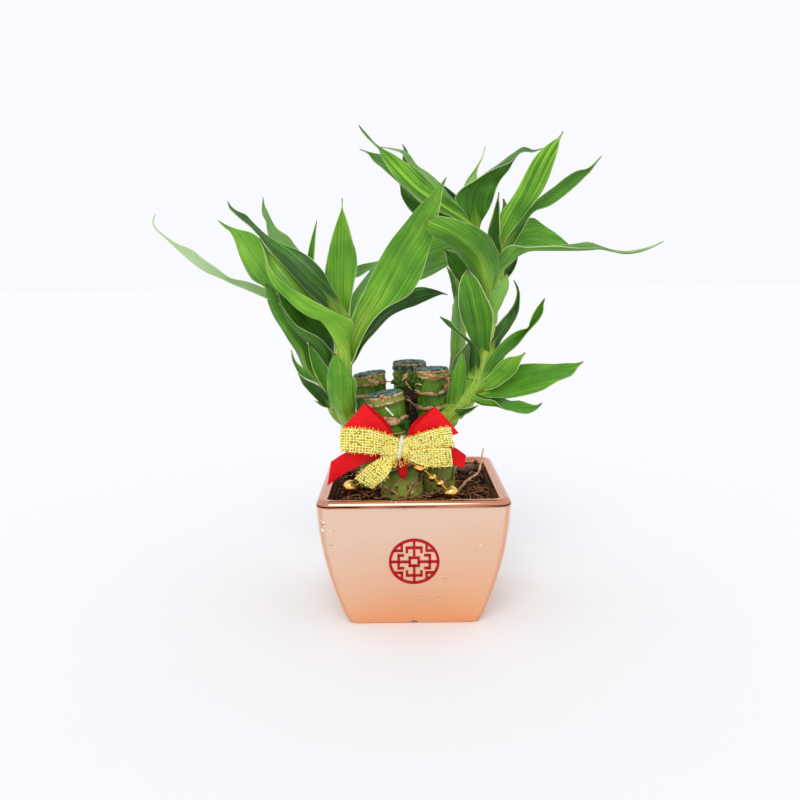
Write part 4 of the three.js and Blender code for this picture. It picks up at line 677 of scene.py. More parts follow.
def rose_gold_plated_glaze(settings):
    """Stoneware glazed and then plated with a thin rose-gold metal: a mirror that is slightly fogged on the
    body."""
    material, add = new_material("rose_gold_plated_glaze")
    place = add("TexCoord", out="Object")
    across = add("SeparateXYZ", [place])
    height = across.node.outputs[2]
    corner = add("Attribute", out="Fac", attribute_name="corner")
    share = add("MapRange", [height, 0.0, 0.070, 0.0, 1.0])
    # Cloudy patches about 30 mm wide, where the plating is thicker
    cloud = add("TexNoise", {"Vector": place, "Scale": 32.0, "Detail": 3.0})
    mixed = add("Math", [cloud, 0.35, share], operation="MULTIPLY_ADD")
    # Painted reflection: the left is pinker and the right more orange
    mixed = add("Math", [across, -3.0, mixed], operation="MULTIPLY_ADD")
    # Painted reflection: the colour deepens down the wall towards the foot, where the mirror catches the
    # shaded floor
    colour = add("ValToRGB", [mixed], stops=[
        (0.12, settings.low_colour), (0.5, settings.mid_colour), (1.0, settings.high_colour)])
    # Painted reflection: deeper colour round the corners and on the lip, where the mirror catches darker
    # surroundings
    corner_reflection = add("MapRange", [corner, 0.5, 1.0, 0.0, 0.6])
    lip_reflection = add("MapRange", [height, 0.0662, 0.0666, 0.0, 1.0])
    # Painted reflection: a dark line in the tuck under the lip, 0.7 mm wide, that comes and goes
    tuck = add("Math", [height, 0.0673, 0.00036], operation="COMPARE")
    dark_line_strength = add("MapRange", [cloud, 0.4, 0.56, 0.15, 1.0])
    line = add("Math", [tuck, dark_line_strength], operation="MULTIPLY")
    # Pinholes and chips of bare white glaze, 0.3 to 1.5 mm wide in cells of 4 mm, thicker towards the corners
    cells = add("TexVoronoi", {"Vector": place, "Scale": 260.0, "Randomness": 1.0}, "Distance", feature="F1")
    patch = add("TexNoise", {"Vector": place, "Scale": 60.0, "Detail": 2.0})
    reach = add("MapRange", [patch, 0.56, 0.74, 0.0, 0.22])
    near = add("Math", [corner, 0.2, -0.05], operation="MULTIPLY_ADD")
    near = add("Math", [near, patch], operation="MULTIPLY")
    near = add("Math", [near, reach], operation="ADD")
    chip = add("Math", [cells, near], operation="LESS_THAN")
    # Fine level scuffs, about 0.7 mm tall and 8 mm long
    level = add("Mapping", {"Vector": place, "Scale": (0.08, 0.08, 1.0)})
    scuffs = add("TexNoise", {"Vector": level, "Scale": 1500.0, "Detail": 1.0})
    worn = add("Math", [scuffs, patch], operation="MULTIPLY")
    scuff = add("MapRange", [worn, 0.41, 0.45, 0.0, 0.5])
    layers = [(corner_reflection, "#E08E66"), (lip_reflection, "#CF8E72"), (line, "#3A1A10"), (scuff, "#A9765C"),
        (chip, "#F4EEE8")]
    for cover, code in layers:
        colour = add("Mix", {0: cover, 6: colour, 7: linear(code)}, 2, data_type="RGBA")
    # The body is fogged and the lip is polished, with a grain of 1 mm and ripples 9 mm wide
    fog = add("MapRange", [height, 0.0662, 0.0667, 0.24, 0.03])
    grain = add("TexNoise", {"Vector": place, "Scale": 900.0, "Detail": 4.0})
    ripple = add("TexNoise", {"Vector": place, "Scale": 110.0, "Detail": 2.0})
    orange_peel = add("Bump", {"Strength": 0.06, "Distance": 0.001, "Height": ripple})
    return close(material, {
        "Base Color": colour,
        "Metallic": add("MapRange", [chip, 0.0, 1.0, 1.0, 0.0]),
        "Roughness": add("Math", [grain, 0.12, fog], operation="MULTIPLY_ADD"),
        "Normal": add(
            "Bump", {"Strength": 0.5, "Distance": 0.0003, "Height": chip, "Normal": orange_peel},
            invert=True),
    })


def red_enamel(settings):
    """Red overglaze enamel, printed on and fired: a raised satin film, uneven over 3 mm."""
    return grained(
        "red_enamel", {"Scale": 350.0, "Detail": 3.0}, [(0.3, "#A4000C"), (0.7, settings.red)], (0.1, 0.0004),
        {"Roughness": 0.5, "Specular IOR Level": 0.25})


def peat_and_coir():
    """Damp peat with coir: almost black, with brown strands and paler crumbs, in lumps of 2.4 mm."""
    return grained(
        "peat_and_coir", {"Scale": 420.0, "Detail": 6.0, "Roughness": 0.7},
        [(0.34, "#070302"), (0.52, "#1A0D08"), (0.64, "#3E2014"), (0.8, "#7A432A")], (0.9, 0.0012),
        {"Roughness": 0.9, "Specular IOR Level": 0.15})


def dry_fibre(name, dark, light):
    """Dry plant fibre: matt, and mottled every 2 mm, coarser than real fibre so that it shows."""
    return grained(
        name, {"Scale": 500.0, "Detail": 4.0}, [(0.35, dark), (0.65, light)], (0.4, 0.0004),
        {"Roughness": 0.8, "Specular IOR Level": 0.2})


def cane_skin(settings):
    """Living cane: smooth green bark with darker flecks, crossed by tan papery leaf scars."""
    material, add = new_material("cane_skin")
    place = add("TexCoord", out="Object")
    scar, wear, ring_shade = (add("Attribute", out="Fac", attribute_name=name) for name in ("scar", "wear", "ring_shade"))
    # Streaks run up the cane, so the noise is stretched 6 times along Z
    stretch = add("Mapping", {"Vector": place, "Scale": (1.0, 1.0, 0.16)})
    streak = add("TexNoise", {"Vector": stretch, "Scale": 420.0, "Detail": 4.0})
    mottle = add("TexNoise", {"Vector": place, "Scale": 130.0, "Detail": 4.0, "Roughness": 0.6})
    both = add("Mix", {0: 0.5, 2: streak, 3: mottle}, data_type="FLOAT")
    colour = add("ValToRGB", [both], stops=[
        (0.36, "#1A3208"), (0.48, settings.cane_colour), (0.66, "#639120"), (0.82, "#A9BC50")])
    # Bare flecks 1 to 3 mm wide, thicker where the cane is worn
    fleck = add("TexNoise", {"Vector": place, "Scale": 260.0, "Detail": 5.0, "Roughness": 0.7})
    need = add("MapRange", [wear, 0.0, 1.0, 0.75, 0.56])
    bare = add("Math", [fleck, need], operation="GREATER_THAN")
    brown = add("ValToRGB", [streak], stops=[(0.35, "#3A2316"), (0.6, "#7E5A38")])
    # Worn bark turns yellow-green before it goes brown
    faded = add("Math", [wear, 0.85], operation="MULTIPLY")
    # Painted shade: the bark is darker just under each swollen ring
    under = add("Math", [ring_shade, fleck], operation="MULTIPLY")
    paper = add("ValToRGB", [fleck], stops=[(0.38, "#6B431F"), (0.5, "#BB8F5E"), (0.66, "#E6CBA0")])
    torn = add("Math", [fleck, 0.9, -0.45], operation="MULTIPLY_ADD")
    edge = add("Math", [scar, torn], operation="ADD")
    ring = add("MapRange", [edge, 0.42, 0.5, 0.0, 1.0])
    layers = [(faded, linear("#A3AE4E")), (under, linear("#12200A")), (bare, brown), (ring, paper)]
    for cover, over in layers:
        colour = add("Mix", {0: cover, 6: colour, 7: over}, 2, data_type="RGBA")
    relief = add("Math", [ring, 0.5, fleck], operation="MULTIPLY_ADD")
    return close(material, {
        "Base Color": colour,
        "Roughness": add("MapRange", [ring, 0.0, 1.0, 0.42, 0.9]),
        "Normal": add("Bump", {"Strength": 0.5, "Distance": 0.0007, "Height": relief}),
        "Specular IOR Level": 0.25,
    })


def sealing_wax():
    """Blue-green grafting wax, brushed on hot: dull and dusty, in lumps of 3 mm."""
    return grained(
        "sealing_wax", {"Scale": 330.0, "Detail": 5.0, "Roughness": 0.65},
        [(0.36, "#121C18"), (0.48, "#2C4A41"), (0.58, "#5A8276"), (0.72, "#B4CCC2")], (0.7, 0.001),
        {"Roughness": 0.7})


def leaf_skin(settings, under=False):
    """A waxy leaf: parallel veins and stripes, a yellow-green midrib and sheath, a cream margin and a dry
    tip."""
    material, add = new_material("leaf_underside" if under else "leaf_upper_side")
    margin, rib, rise, tone, pale, striped, cast = (
        add("Attribute", out="Fac", attribute_name=name)
        for name in ("margin", "rib", "rise", "tone", "pale", "stripe", "cast"))
    place = add("TexCoord", out="Object")
    # Across the blade, stripes 3 mm wide, bands of 1 mm, and veins 1.7 mm apart, coarser than the real ones
    # so that they show. The map's unit is a tenth of a metre
    run = add("Mapping", {"Vector": add("UVMap", uv_map="blade"), "Scale": (1.0, 0.03, 1.0)})
    band = add("TexNoise", {"Vector": run, "Scale": 95.0, "Detail": 3.0, "Roughness": 0.6})
    stripe = add("TexNoise", {"Vector": run, "Scale": 38.0, "Detail": 1.0})
    vein = add(
        "TexWave", {"Vector": run, "Scale": 18.0, "Distortion": 0.6, "Detail": 2.0},
        bands_direction="X", wave_profile="SIN")
    cloud = add("TexNoise", {"Vector": place, "Scale": 55.0, "Detail": 3.0})
    speck = add("TexNoise", {"Vector": place, "Scale": 420.0, "Detail": 2.0})
    # The tone is partly the leaf's own green and partly painted shade where it lies under other leaves
    shade = tone
    stripe_swing = add("Math", [striped, 2.6], operation="MULTIPLY")
    for pattern, swing in ((band, 0.6), (cloud, 0.8), (stripe, stripe_swing), (vein, 0.11)):
        centred = add("Math", [pattern, 0.5], operation="SUBTRACT")
        shade = add("Math", [centred, swing, shade], operation="MULTIPLY_ADD")
    if under:
        shade = add("Math", [shade, 0.12], operation="SUBTRACT")
    colour = add("ValToRGB", [shade], stops=[
        (0.0, settings.dark_green), (0.5, settings.mid_green), (0.95, settings.bright_green)])
    # Soft changes along the blade and across it: from one place to another, from one value to another
    foot, rolled, upward, tip, low_rise, by_rib, light_band, broken, at_margin, dots = (
        add("MapRange", span, interpolation_type="SMOOTHSTEP") for span in (
            (rise, 0.0, 0.26, 1.0, 0.0), (rise, 0.0, 0.05, 0.85, 0.0), (rise, 0.12, 0.5, 1.0, 0.1),
            (rise, 0.93, 1.0, 0.0, 0.8), (rise, 0.1, 0.75, 0.3, 1.0), (rib, 0.5, 7.0, 1.0, 0.0),
            (band, 0.35, 0.62, 0.0, 1.0), (cloud, 0.35, 0.6, 0.3, 0.75), (margin, 0.08, 0.28, 1.0, 0.0),
            (speck, 0.70, 0.76, 0.0, 0.6)))
    # The sheath and the foot of the midrib are yellow-green; some outer sides are so along their whole middle
    squared = add("Math", [foot, foot], operation="MULTIPLY")
    reach = add("Math", [squared, 9.0, 0.4], operation="MULTIPLY_ADD")
    beside = add("Math", [rib, reach], operation="DIVIDE")
    beside = add("MapRange", [beside, 0.1, 1.0, 0.8, 0.0], interpolation_type="SMOOTHSTEP")
    warm = add("Math", [beside, foot], operation="MULTIPLY")
    whole = add("Math", [by_rib, cast], operation="MULTIPLY")
    whole = add("Math", [upward, whole], operation="MULTIPLY")
    yellow = add("Math", [warm, whole], operation="MAXIMUM")
    yellow = add("Math", [yellow, rolled], operation="MAXIMUM")
    sheath = add(
        "Mix", {0: light_band, 6: linear("#6E9A30"), 7: linear(settings.sheath_green)}, 2, data_type="RGBA")
    # A leaf that has lost its green is palest towards its tip; on the palest leaf the washed-out far end is
    # also a painted highlight
    faded = add("Math", [pale, low_rise], operation="MULTIPLY")
    dulled = add("Math", [faded, 0.22 if under else 0.0], operation="ADD")
    # The cream margin is 0.2 mm wide and comes and goes
    edged = add("Math", [at_margin, broken], operation="MULTIPLY")
    # Tips that still have their green have dried out
    green_left = add("Math", [1.0, faded], operation="SUBTRACT")
    spent = add("Math", [tip, green_left], operation="MULTIPLY")
    dry = add("Math", [spent, dots], operation="MAXIMUM")
    cream = linear(settings.margin_colour)
    for cover, over in ((yellow, sheath), (dulled, linear("#B2C69C")), (edged, cream),
            (dry, linear("#4F3F1C"))):
        colour = add("Mix", {0: cover, 6: colour, 7: over}, 2, data_type="RGBA")
    ridge = add("Math", [vein, 0.5, band], operation="MULTIPLY_ADD")
    return close(material, {
        "Base Color": colour, "Roughness": 0.45 if under else 0.35, "Specular IOR Level": 0.22,
        "Normal": add("Bump", {"Strength": 0.4, "Distance": 0.0004, "Height": ridge}),
        "Subsurface Weight": 0.1, "Subsurface Radius": (0.5, 1.0, 0.15), "Subsurface Scale": 0.0012,
    })


def red_satin(settings):
    """Polyester satin ribbon: floats of filament along its length give a streaky sheen, painted into its
    colour as lighter and darker streaks, with a tighter edge."""
    material, add = new_material("red_satin")
    lines = add("UVMap", uv_map="cloth")
    # Ribs 1.1 mm apart across the ribbon, coarser than the real 0.2 mm so that they show
    weft = add("TexWave", {"Vector": lines, "Scale": 28.0, "Distortion": 0.3, "Detail": 1.0},
        bands_direction="Y")
    floats = add("Mapping", {"Vector": lines, "Scale": (1.0, 0.08, 1.0)})
    streak = add("TexNoise", {"Vector": floats, "Scale": 160.0, "Detail": 3.0})
    # Painted sheen: the colour runs lighter and darker along the streaks
    colour = add("ValToRGB", [streak], stops=[(0.3, "#D80A14"), (0.6, settings.red_satin), (0.8, "#F01A22")])
    edge = add("Attribute", out="Fac", attribute_name="margin")
    selvedge = add("MapRange", [edge, 0.3, 0.6, 0.35, 0.0])
    relief = add("Math", [weft, 0.6, streak], operation="MULTIPLY_ADD")
    return close(material, {
        "Base Color": add("Mix", {0: selvedge, 6: colour, 7: linear("#9C0A10")}, 2, data_type="RGBA"),
        "Roughness": 0.45, "Specular IOR Level": 0.14,
        "Normal": add("Bump", {"Strength": 0.07, "Distance": 0.0003, "Height": relief}),
    })


def gold_lame(settings):
    """Woven lamé net: flat metallised film threads, which glitter in facets of 0.8 mm as they twist; the
    glints and the dark facets are painted into the colour.
    """
    material, add = new_material("gold_lame")
    place = add("TexCoord", out="Object")
    painted_glint = add("TexVoronoi", {"Vector": place, "Scale": 1300.0}, "Color", feature="F1")
    # Painted highlight and shade: each facet's colour runs from dark ochre to a pale glint
    return close(material, {
        "Base Color": add("ValToRGB", [painted_glint], stops=[
            (0.13, "#8F6600"), (0.26, settings.gold_cloth), (0.9, "#FFFAAE")]),
        "Metallic": 0.0,
        "Roughness": add("MapRange", [painted_glint, 0.0, 1.0, 0.2, 0.5]),
        "Normal": add("Bump", {"Strength": 0.6, "Distance": 0.0004, "Height": painted_glint}),
    })


def gold_ground():
    """Yellow ground cloth of the net: the dull gold gaps, 1 mm wide, between its threads, darkened as painted
    shade under the threads.
    """
    return grained(
        "gold_net_ground", {"Scale": 900.0, "Detail": 2.0}, [(0.35, "#866200"), (0.6, "#E8C838")], None,
        {"Metallic": 0.3, "Roughness": 0.5})


def plated_gold(name, rough):
    """Gold-plated finish: a warm mirror with wear 1.4 mm wide."""
    material, add = new_material(name)
    wear = add("TexNoise", {"Vector": add("TexCoord", out="Object"), "Scale": 700.0, "Detail": 3.0})
    return close(material, {
        "Base Color": add("ValToRGB", [wear], stops=[(0.3, "#EDB02C"), (0.7, "#FFE890")]),
        "Metallic": 1.0,
        "Roughness": add("MapRange", [wear, 0.3, 0.8, rough, rough + 0.12]),
    })


def paper_tie():
    """Paper-covered twist tie: bright white, crinkled every 0.9 mm, with a pearly coat."""
    return grained(
        "paper_tie", {"Scale": 1100.0, "Detail": 3.0}, [(0.35, "#D2CFC8"), (0.6, "#F6F4EF")], (0.4, 0.0003),
        {"Roughness": 0.35, "Coat Weight": 0.3})


def plain_paper(name, code):
    """Seamless white backdrop paper: matt and even."""
    material, _ = new_material(name)
    return close(material, {"Base Color": linear(code), "Roughness": 0.9, "Specular IOR Level": 0.2})


# Settings

class PotSettings(bpy.types.PropertyGroup):
    height: bpy.props.FloatProperty(name="Height", description="Height of the pot", default=0.070,
        unit="LENGTH")
    rim_width: bpy.props.FloatProperty(
        name="Rim width", description="Width across the rim", default=0.098, unit="LENGTH")
    foot_width: bpy.props.FloatProperty(
        name="Foot width", description="Width across the foot", default=0.0697, unit="LENGTH")
    wall: bpy.props.FloatProperty(name="Wall", description="Thickness of the wall", default=0.0062,
        unit="LENGTH")
    corner: bpy.props.FloatProperty(
        name="Corner", description="Corner radius at the foot", default=0.005, unit="LENGTH")
    # The plating colours near the rim, half way up and near the foot carry painted reflection: lower down the
    # mirror catches the shaded floor
    high_colour: bpy.props.StringProperty(
        name="Upper plating", description="Hex colour near the rim", default="#F0CEB6")
    mid_colour: bpy.props.StringProperty(name="Middle plating", description="Hex colour half way up",
        default="#F2C29E")
    low_colour: bpy.props.StringProperty(
        name="Lower plating", description="Hex colour near the foot", default="#F8B382")
    roundel_radius: bpy.props.FloatProperty(
        name="Roundel radius", description="Radius of the red roundel", default=0.0128, unit="LENGTH")
    roundel_height: bpy.props.FloatProperty(
        name="Roundel height", description="Height of the roundel's middle", default=0.0376, unit="LENGTH")
    red: bpy.props.StringProperty(name="Roundel red", description="Hex colour of the roundel",
        default="#BE000E")


class PlantSettings(bpy.types.PropertyGroup):
    leaf_thickness: bpy.props.FloatProperty(
        name="Leaf thickness", description="Thickness of a leaf", default=0.00045, unit="LENGTH")
    # The dark green is partly the green of old leaves and partly painted shade on leaves that lie under
    # others
    dark_green: bpy.props.StringProperty(name="Dark green", description="Hex colour of old leaves",
        default="#284A18")
    mid_green: bpy.props.StringProperty(name="Leaf green", description="Hex colour of most leaves",
        default="#528E20")
    bright_green: bpy.props.StringProperty(
        name="Bright green", description="Hex colour of young leaves", default="#8CC238")
    sheath_green: bpy.props.StringProperty(name="Sheath green", description="Hex colour of sheaths",
        default="#A6C446")
    margin_colour: bpy.props.StringProperty(name="Margin", description="Hex colour of leaf margins",
        default="#D3DFA8")
    cane_colour: bpy.props.StringProperty(name="Cane green", description="Hex colour of the canes",
        default="#40690C")
    fibres: bpy.props.IntProperty(name="Fibres", description="Loose strands in the soil", default=270)
    crumbs: bpy.props.IntProperty(name="Crumbs", description="Crumbs on the soil", default=520)


class BowSettings(bpy.types.PropertyGroup):
    red_satin: bpy.props.StringProperty(name="Satin red", description="Hex colour of the satin",
        default="#E6101A")
    gold_cloth: bpy.props.StringProperty(name="Gold cloth", description="Hex colour of the gold net",
        default="#FFF46C")
    ribbon_thickness: bpy.props.FloatProperty(
        name="Ribbon thickness", description="Thickness of the satin", default=0.0003, unit="LENGTH")
    thread_gap: bpy.props.FloatProperty(
        name="Thread gap", description="Space between the gold threads", default=0.0015, unit="LENGTH")


class StageSettings(bpy.types.PropertyGroup):
    paper: bpy.props.StringProperty(name="Backdrop", description="Hex colour of the backdrop",
        default="#E9E9EB")
    key_power: bpy.props.FloatProperty(
        name="Softbox", description="Strength of the softbox in watts a square metre", default=1.0)


# Shapes

def pot_half(height, pot):
    """Half the pot's width at a height, in metres."""
    flare = 1.85
    share = 1 - (1 - min(max(height / pot.height, 0), 1)) ** flare
    return pot.foot_width / 2 + (pot.rim_width - pot.foot_width) / 2 * share


def cane_axis(cane):
    """A cane's middle at a height in millimetres, and its direction."""
    low = Vector((*cane["foot"], SOIL_LINE))
    high = Vector(cane["top"])
    way = (high - low).normalized()
    return (lambda height: high + way * ((height - high.z) / way.z)), way


def cane_body(cane, length, seed):
    """A cane stood on the origin, swollen at its foot and its rings, with what its bark reads: its papery
    rings, the painted shade under them, and its worn foot and top."""
    radius, rings, cut = cane["radius"], cane["rings"], cane.get("cut", 0)
    stations = []
    for h in np.linspace(0, length, 90):
        swell = sum(bell(length - below - h, 1.1) for below in rings)
        low = 0.9 * bell(h - 18, 7)
        stations.append((radius - 0.3 + 0.5 * min(swell, 1) + low * 0.5, h))
    obj = turned([*stations, (radius - 1.0, length + 0.2)])
    scar, wear, ring_shade = [], [], []
    for vertex in obj.data.vertices:
        x, y, z = vertex.co / MM
        angle = math.atan2(y, x)
        wobble = noise.noise((math.cos(angle) * 1.3 + seed, math.sin(angle) * 1.3, z * 0.04)) * 2.4
        h = z + wobble
        scar.append(max(bell(length - below - h, 0.55 + 0.3 * (below > 10)) for below in rings))
        ring_shade.append(min(1, sum(bell(length - below - 1.5 - h, 1.3) for below in rings)))
        wear.append(min(1, bell(length - z, 5) * 0.7 + bell(z - 16, 9)))
        tear = 0.02 * noise.noise((x * 0.6, y * 0.6 + seed, z * 0.6)) * (0.3 + scar[-1])
        grow = 1 + (tear + 0.012 * noise.noise((x * 0.12, y * 0.12, seed + z * 0.06)))
        slant = cut * x * max(0, 1 - (length - z) / 8)
        z += slant + 0.5 * wobble * min(1, z / 6) * min(1, (length - z) / 3)
        vertex.co = Vector((x * grow, y * grow, z)) * MM
    for name, values in (("scar", scar), ("ring_shade", ring_shade), ("wear", wear)):
        store(obj.data, name, np.array(values))
    return obj


def bark_flakes(cane, length, seed, rng):
    """A ragged rim of bark at the cut, and torn collars of dry leaf base round some of the rings."""
    radius, cut = cane["radius"], cane.get("cut", 0)

    def rim(k, c):
        angle = math.tau * c / 89
        torn = noise.fractal((math.cos(angle) * 3 + seed, math.sin(angle) * 3, 1), 0.8, 2.0, 4)
        out, up = ((0.1, -0.75), (0.3, -0.45), (0.35, 0.0), (0.1, 0.45 + 0.5 * torn))[k]
        r = radius - 0.35 + out + 0.15 * torn
        return angle, r, up + (length + (0.5 * torn if k == 0 else 0) + cut * math.cos(angle) * r)

    flakes = [thin_sheet("rim", round_rows(4, 90, rim), 0.00025)]
    levels, columns, collared = 5, 40, 4
    for below in cane["rings"][:collared]:
        for _ in range(2):
            start, sweep, tall = rng.uniform(0, 6.28), rng.uniform(1.0, 3.2), rng.uniform(0.5, 1.5)

            def collar(k, c):
                angle, lift = start + sweep * c / (columns - 1), k / (levels - 1)
                fade = math.sin(math.pi * c / (columns - 1)) ** 0.5
                torn = 0.55 + 0.45 * noise.noise((angle * 6, seed, below))
                curl = 0.5 * lift ** 2 * (0.5 + noise.noise((angle * 3, below, seed)))
                return angle, radius + 0.25 + curl, length - below - 0.3 + tall * lift * fade * torn

            flakes.append(thin_sheet("flake", round_rows(levels, columns, collar), 0.00018))
    return flakes


def scale_leaves(radius, seed, rng):
    """Old scale leaves that hug the foot of a cane, pointed and brown-edged."""
    levels, columns = 12, 13
    edges = np.array([
        [max(abs(c / 6 - 1) ** 3.5, (k / (levels - 1)) ** 3) * 0.8 for c in range(columns)]
        for k in range(levels)])
    scales = []
    for order in range(5):
        odd = order % 2
        turn_to, low, tall, broad = (
            -2.4 + 0.75 * order, 13.5 + 2.2 * odd, rng.uniform(7, 11), rng.uniform(0.55, 0.75))

        def scale(k, c):
            up, side = k / (levels - 1), c / 6 - 1
            angle = turn_to + side * (broad * (1 - up ** 2.2) + 0.03) + 0.2 * up
            rough = 0.3 * noise.noise((angle * 3, up * 3, seed))
            return angle, radius + 0.75 + 0.15 * odd + 1.5 * up ** 3 + rough, low + tall * up

        rows = round_rows(levels, columns, scale)
        scales.append(thin_sheet("scale", rows, 0.0003, {"scar": edges, "wear": 1.0}))
    return scales


def wax_cap(cane, seed):
    """The wax on a cut top: a poured disc with a lumpy top and runs over the edge."""
    radius, cut = cane["radius"], cane.get("cut", 0)
    dome = [(radius * share, WAX_THICKNESS)
        for share in (0.85, 0.75, 0.65, 0.55, 0.45, 0.35, 0.25, 0.15, 0.06)]
    cap = turned([(radius - 0.5, 0.0), (radius - 0.25, 0.5), (radius - 0.3, 0.95), (radius - 0.9, 1.3),
        *dome])
    for vertex in cap.data.vertices:
        x, y, z = vertex.co / MM
        if z > 0.6:
            vertex.co.z += 0.25 * noise.fractal((x * 0.5, y * 0.5, seed), 0.9, 2.0, 4) * MM
        else:
            run = cane.get("run", 0) + max(-0.3, noise.noise((math.atan2(y, x) * 2.2, seed, 0))) * 1.6
            run = max(run, 0)
            vertex.co.z -= run * MM
            vertex.co.xy *= 1 + 0.028 * run
        vertex.co.z += cut * x * MM
    return cap


def rows_between(table, along, across, belly=1.7):
    """Rows of points across a smooth sheet through three lines, and those lines: an edge, the middle, an
    edge."""
    route = smooth_route(table, along)
    route[-1] += 0.15 * (route[-2] - route[-1])
    first, middle, last = route[:, None, :3], route[:, None, 3:6], route[:, None, 6:]
    s = np.linspace(-1, 1, across)[None, :, None]
    return middle + (last - first) / 2 * s + ((first + last) / 2 - middle) * np.abs(s) ** belly, route


def grow_leaf(name, spec, stem, stem_radii, order, rng, thickness):
    """One leaf, from the foot of its sheath round the stem to its tip, with what its skin reads."""
    table = spec["rows"]
    throat = table[0, 3:6]
    near = int(np.argmin(np.linalg.norm(stem - throat, axis=1)))
    gap = np.linalg.norm(stem[1] - stem[0])
    back = max(near - int(SHEATH / gap), 0)
    upward = unit(stem[min(near + 1, len(stem) - 1)] - stem[max(near - 1, 0)])
    outward = throat - stem[near]
    outward = unit(outward - upward * (outward @ upward))
    aside = np.cross(upward, outward)
    aside = aside * (1 if aside @ (table[0, 6:] - table[0, :3]) > 0 else -1)
    radius = stem_radii[near] + 0.4 + 0.35 * (order % 3)
    feet = []
    for k in (back, (back + near) // 2):
        low, high = (
            stem[k] + radius * (math.cos(WRAP) * outward + math.sin(WRAP) * aside * side) for side in (-1, 1))
        feet.append([*low, *(stem[k] + radius * outward), *high])
    if near - back < 3:
        feet = feet[:1]
    lengths = np.linalg.norm(np.diff(np.array([*feet, *table])[:, 3:6], axis=0), axis=1)
    length, sheath = lengths.sum(), lengths[:len(feet)].sum()
    widest = np.linalg.norm(table[:, 6:] - table[:, :3], axis=1).max()
    # A row about every 2 mm, and an odd number of points across so that one line is the midrib
    along = int(np.clip(length / 2, 20, 60))
    across = int(np.clip(widest, 8, 16)) // 2 * 2 + 1
    rows, route = rows_between([*feet, *table], along, across)
    half = sum(np.linalg.norm(edge - route[:, 3:6], axis=1)
        for edge in (route[:, :3], route[:, 6:]))[:, None] / 2
    run = run_along(route[:, 3:6])
    rise = np.clip((run - sheath) / (run[-1] - sheath), 0, 1)[:, None]
    s = np.linspace(-1, 1, across)[None, :]
    # The sheath lies round the stem and opens into the blade
    rolled = np.clip(1.15 - run / max(sheath * 1.5, 1e-3), 0, 1)[:, None]
    rolled = (rolled * rolled * (3 - 2 * rolled))[..., None]
    core = stem[np.clip(np.rint(back + run / gap).astype(int), 0, near)]
    ring = core[:, None, :] + radius * (
        np.cos(s * WRAP)[..., None] * outward + np.sin(s * WRAP)[..., None] * aside)
    rows = rows * (1 - rolled) + ring * rolled
    lengthwise = unit(np.gradient(rows, axis=0))
    normal = unit(np.cross(unit(np.gradient(rows, axis=1)), lengthwise))
    # Margins ripple and the midrib is creased
    phase, beat = rng.uniform(0, 6.28), rng.uniform(2.2, 3.4)
    swell = np.sin(math.pi * rise)
    ripple = np.sin(beat * 6.28 * rise + phase + np.where(s > 0, 1.9, 0.0))
    distance = np.abs(s) * half
    crease = 0.3 * np.exp(-(distance / 0.7) ** 2) * swell
    rows = rows + normal * (spec["wave"] * swell * np.abs(s) ** 2.5 * ripple - crease)[..., None]
    stored = {"margin": half - distance, "rib": distance, "rise": rise}
    stored.update((key, spec[key]) for key in ("tone", "pale", "stripe", "cast"))
    chart = ("blade", s * half * CHART + rng.uniform(0, 5), run[:, None] * CHART)
    return thin_sheet(name, rows, thickness, stored, chart, material_offset=1)


def ribbon_rows(lower, upper, pleats, rng, across=9, step=1.0):
    """Rows of points of a ribbon between its two edges, with pleats that die out away from the tie."""
    length = run_along(np.array(lower, float))[-1]
    count = int(max(length / step, 8))
    low, high = smooth_route(lower, count), smooth_route(upper, count)
    s = np.linspace(0, 1, across)[None, :, None]
    rows = low[:, None, :] * (1 - s) + high[:, None, :] * s
    normal = unit(np.cross(unit(np.gradient(rows, axis=0)), unit(high - low)[:, None, :]))
    fade = np.exp(-np.minimum(np.abs(rows[..., 0] - BOW_MIDDLE), 30) / 5.0)
    phase = rng.uniform(0, 6.28)
    lift = pleats * fade * np.sin(s[..., 0] * 6.28 * 2.2 + phase)
    lift = lift + 0.25 * np.sin(np.linspace(0, 5, count) + phase)[:, None] * np.sin(s[..., 0] * math.pi)
    return rows + normal * lift[..., None]


def ribbon_stretches(stretches, pleats, thickness, rng):
    """Each stretch of a ribbon, with its distance from the nearest edge and its chart."""
    sheets = []
    for lower, upper in stretches:
        rows = ribbon_rows(lower, upper, pleats, rng)
        span = np.linalg.norm(rows[:, -1] - rows[:, 0], axis=1)[:, None]
        share = np.arange(rows.shape[1]) / (rows.shape[1] - 1)
        stored = {"margin": np.minimum(share, 1 - share) * span}
        chart = ("cloth", share * span * CHART, run_along(rows[:, 4])[:, None] * CHART)
        sheets.append(thin_sheet("stretch", rows, thickness, stored, chart))
    return sheets


def woven_thread(line, out, signs, sway, stray, rng):
    """A thread that goes over and under along a line in millimetres, and strays a little."""
    lift = np.array([0.2 * (-1) ** sign + rng.uniform(-sway, sway) for sign in signs])
    line = line + out * lift[:, None]
    return (line + np.array([[rng.uniform(-stray, stray) for _ in range(3)] for _ in signs])) * MM


# Operators

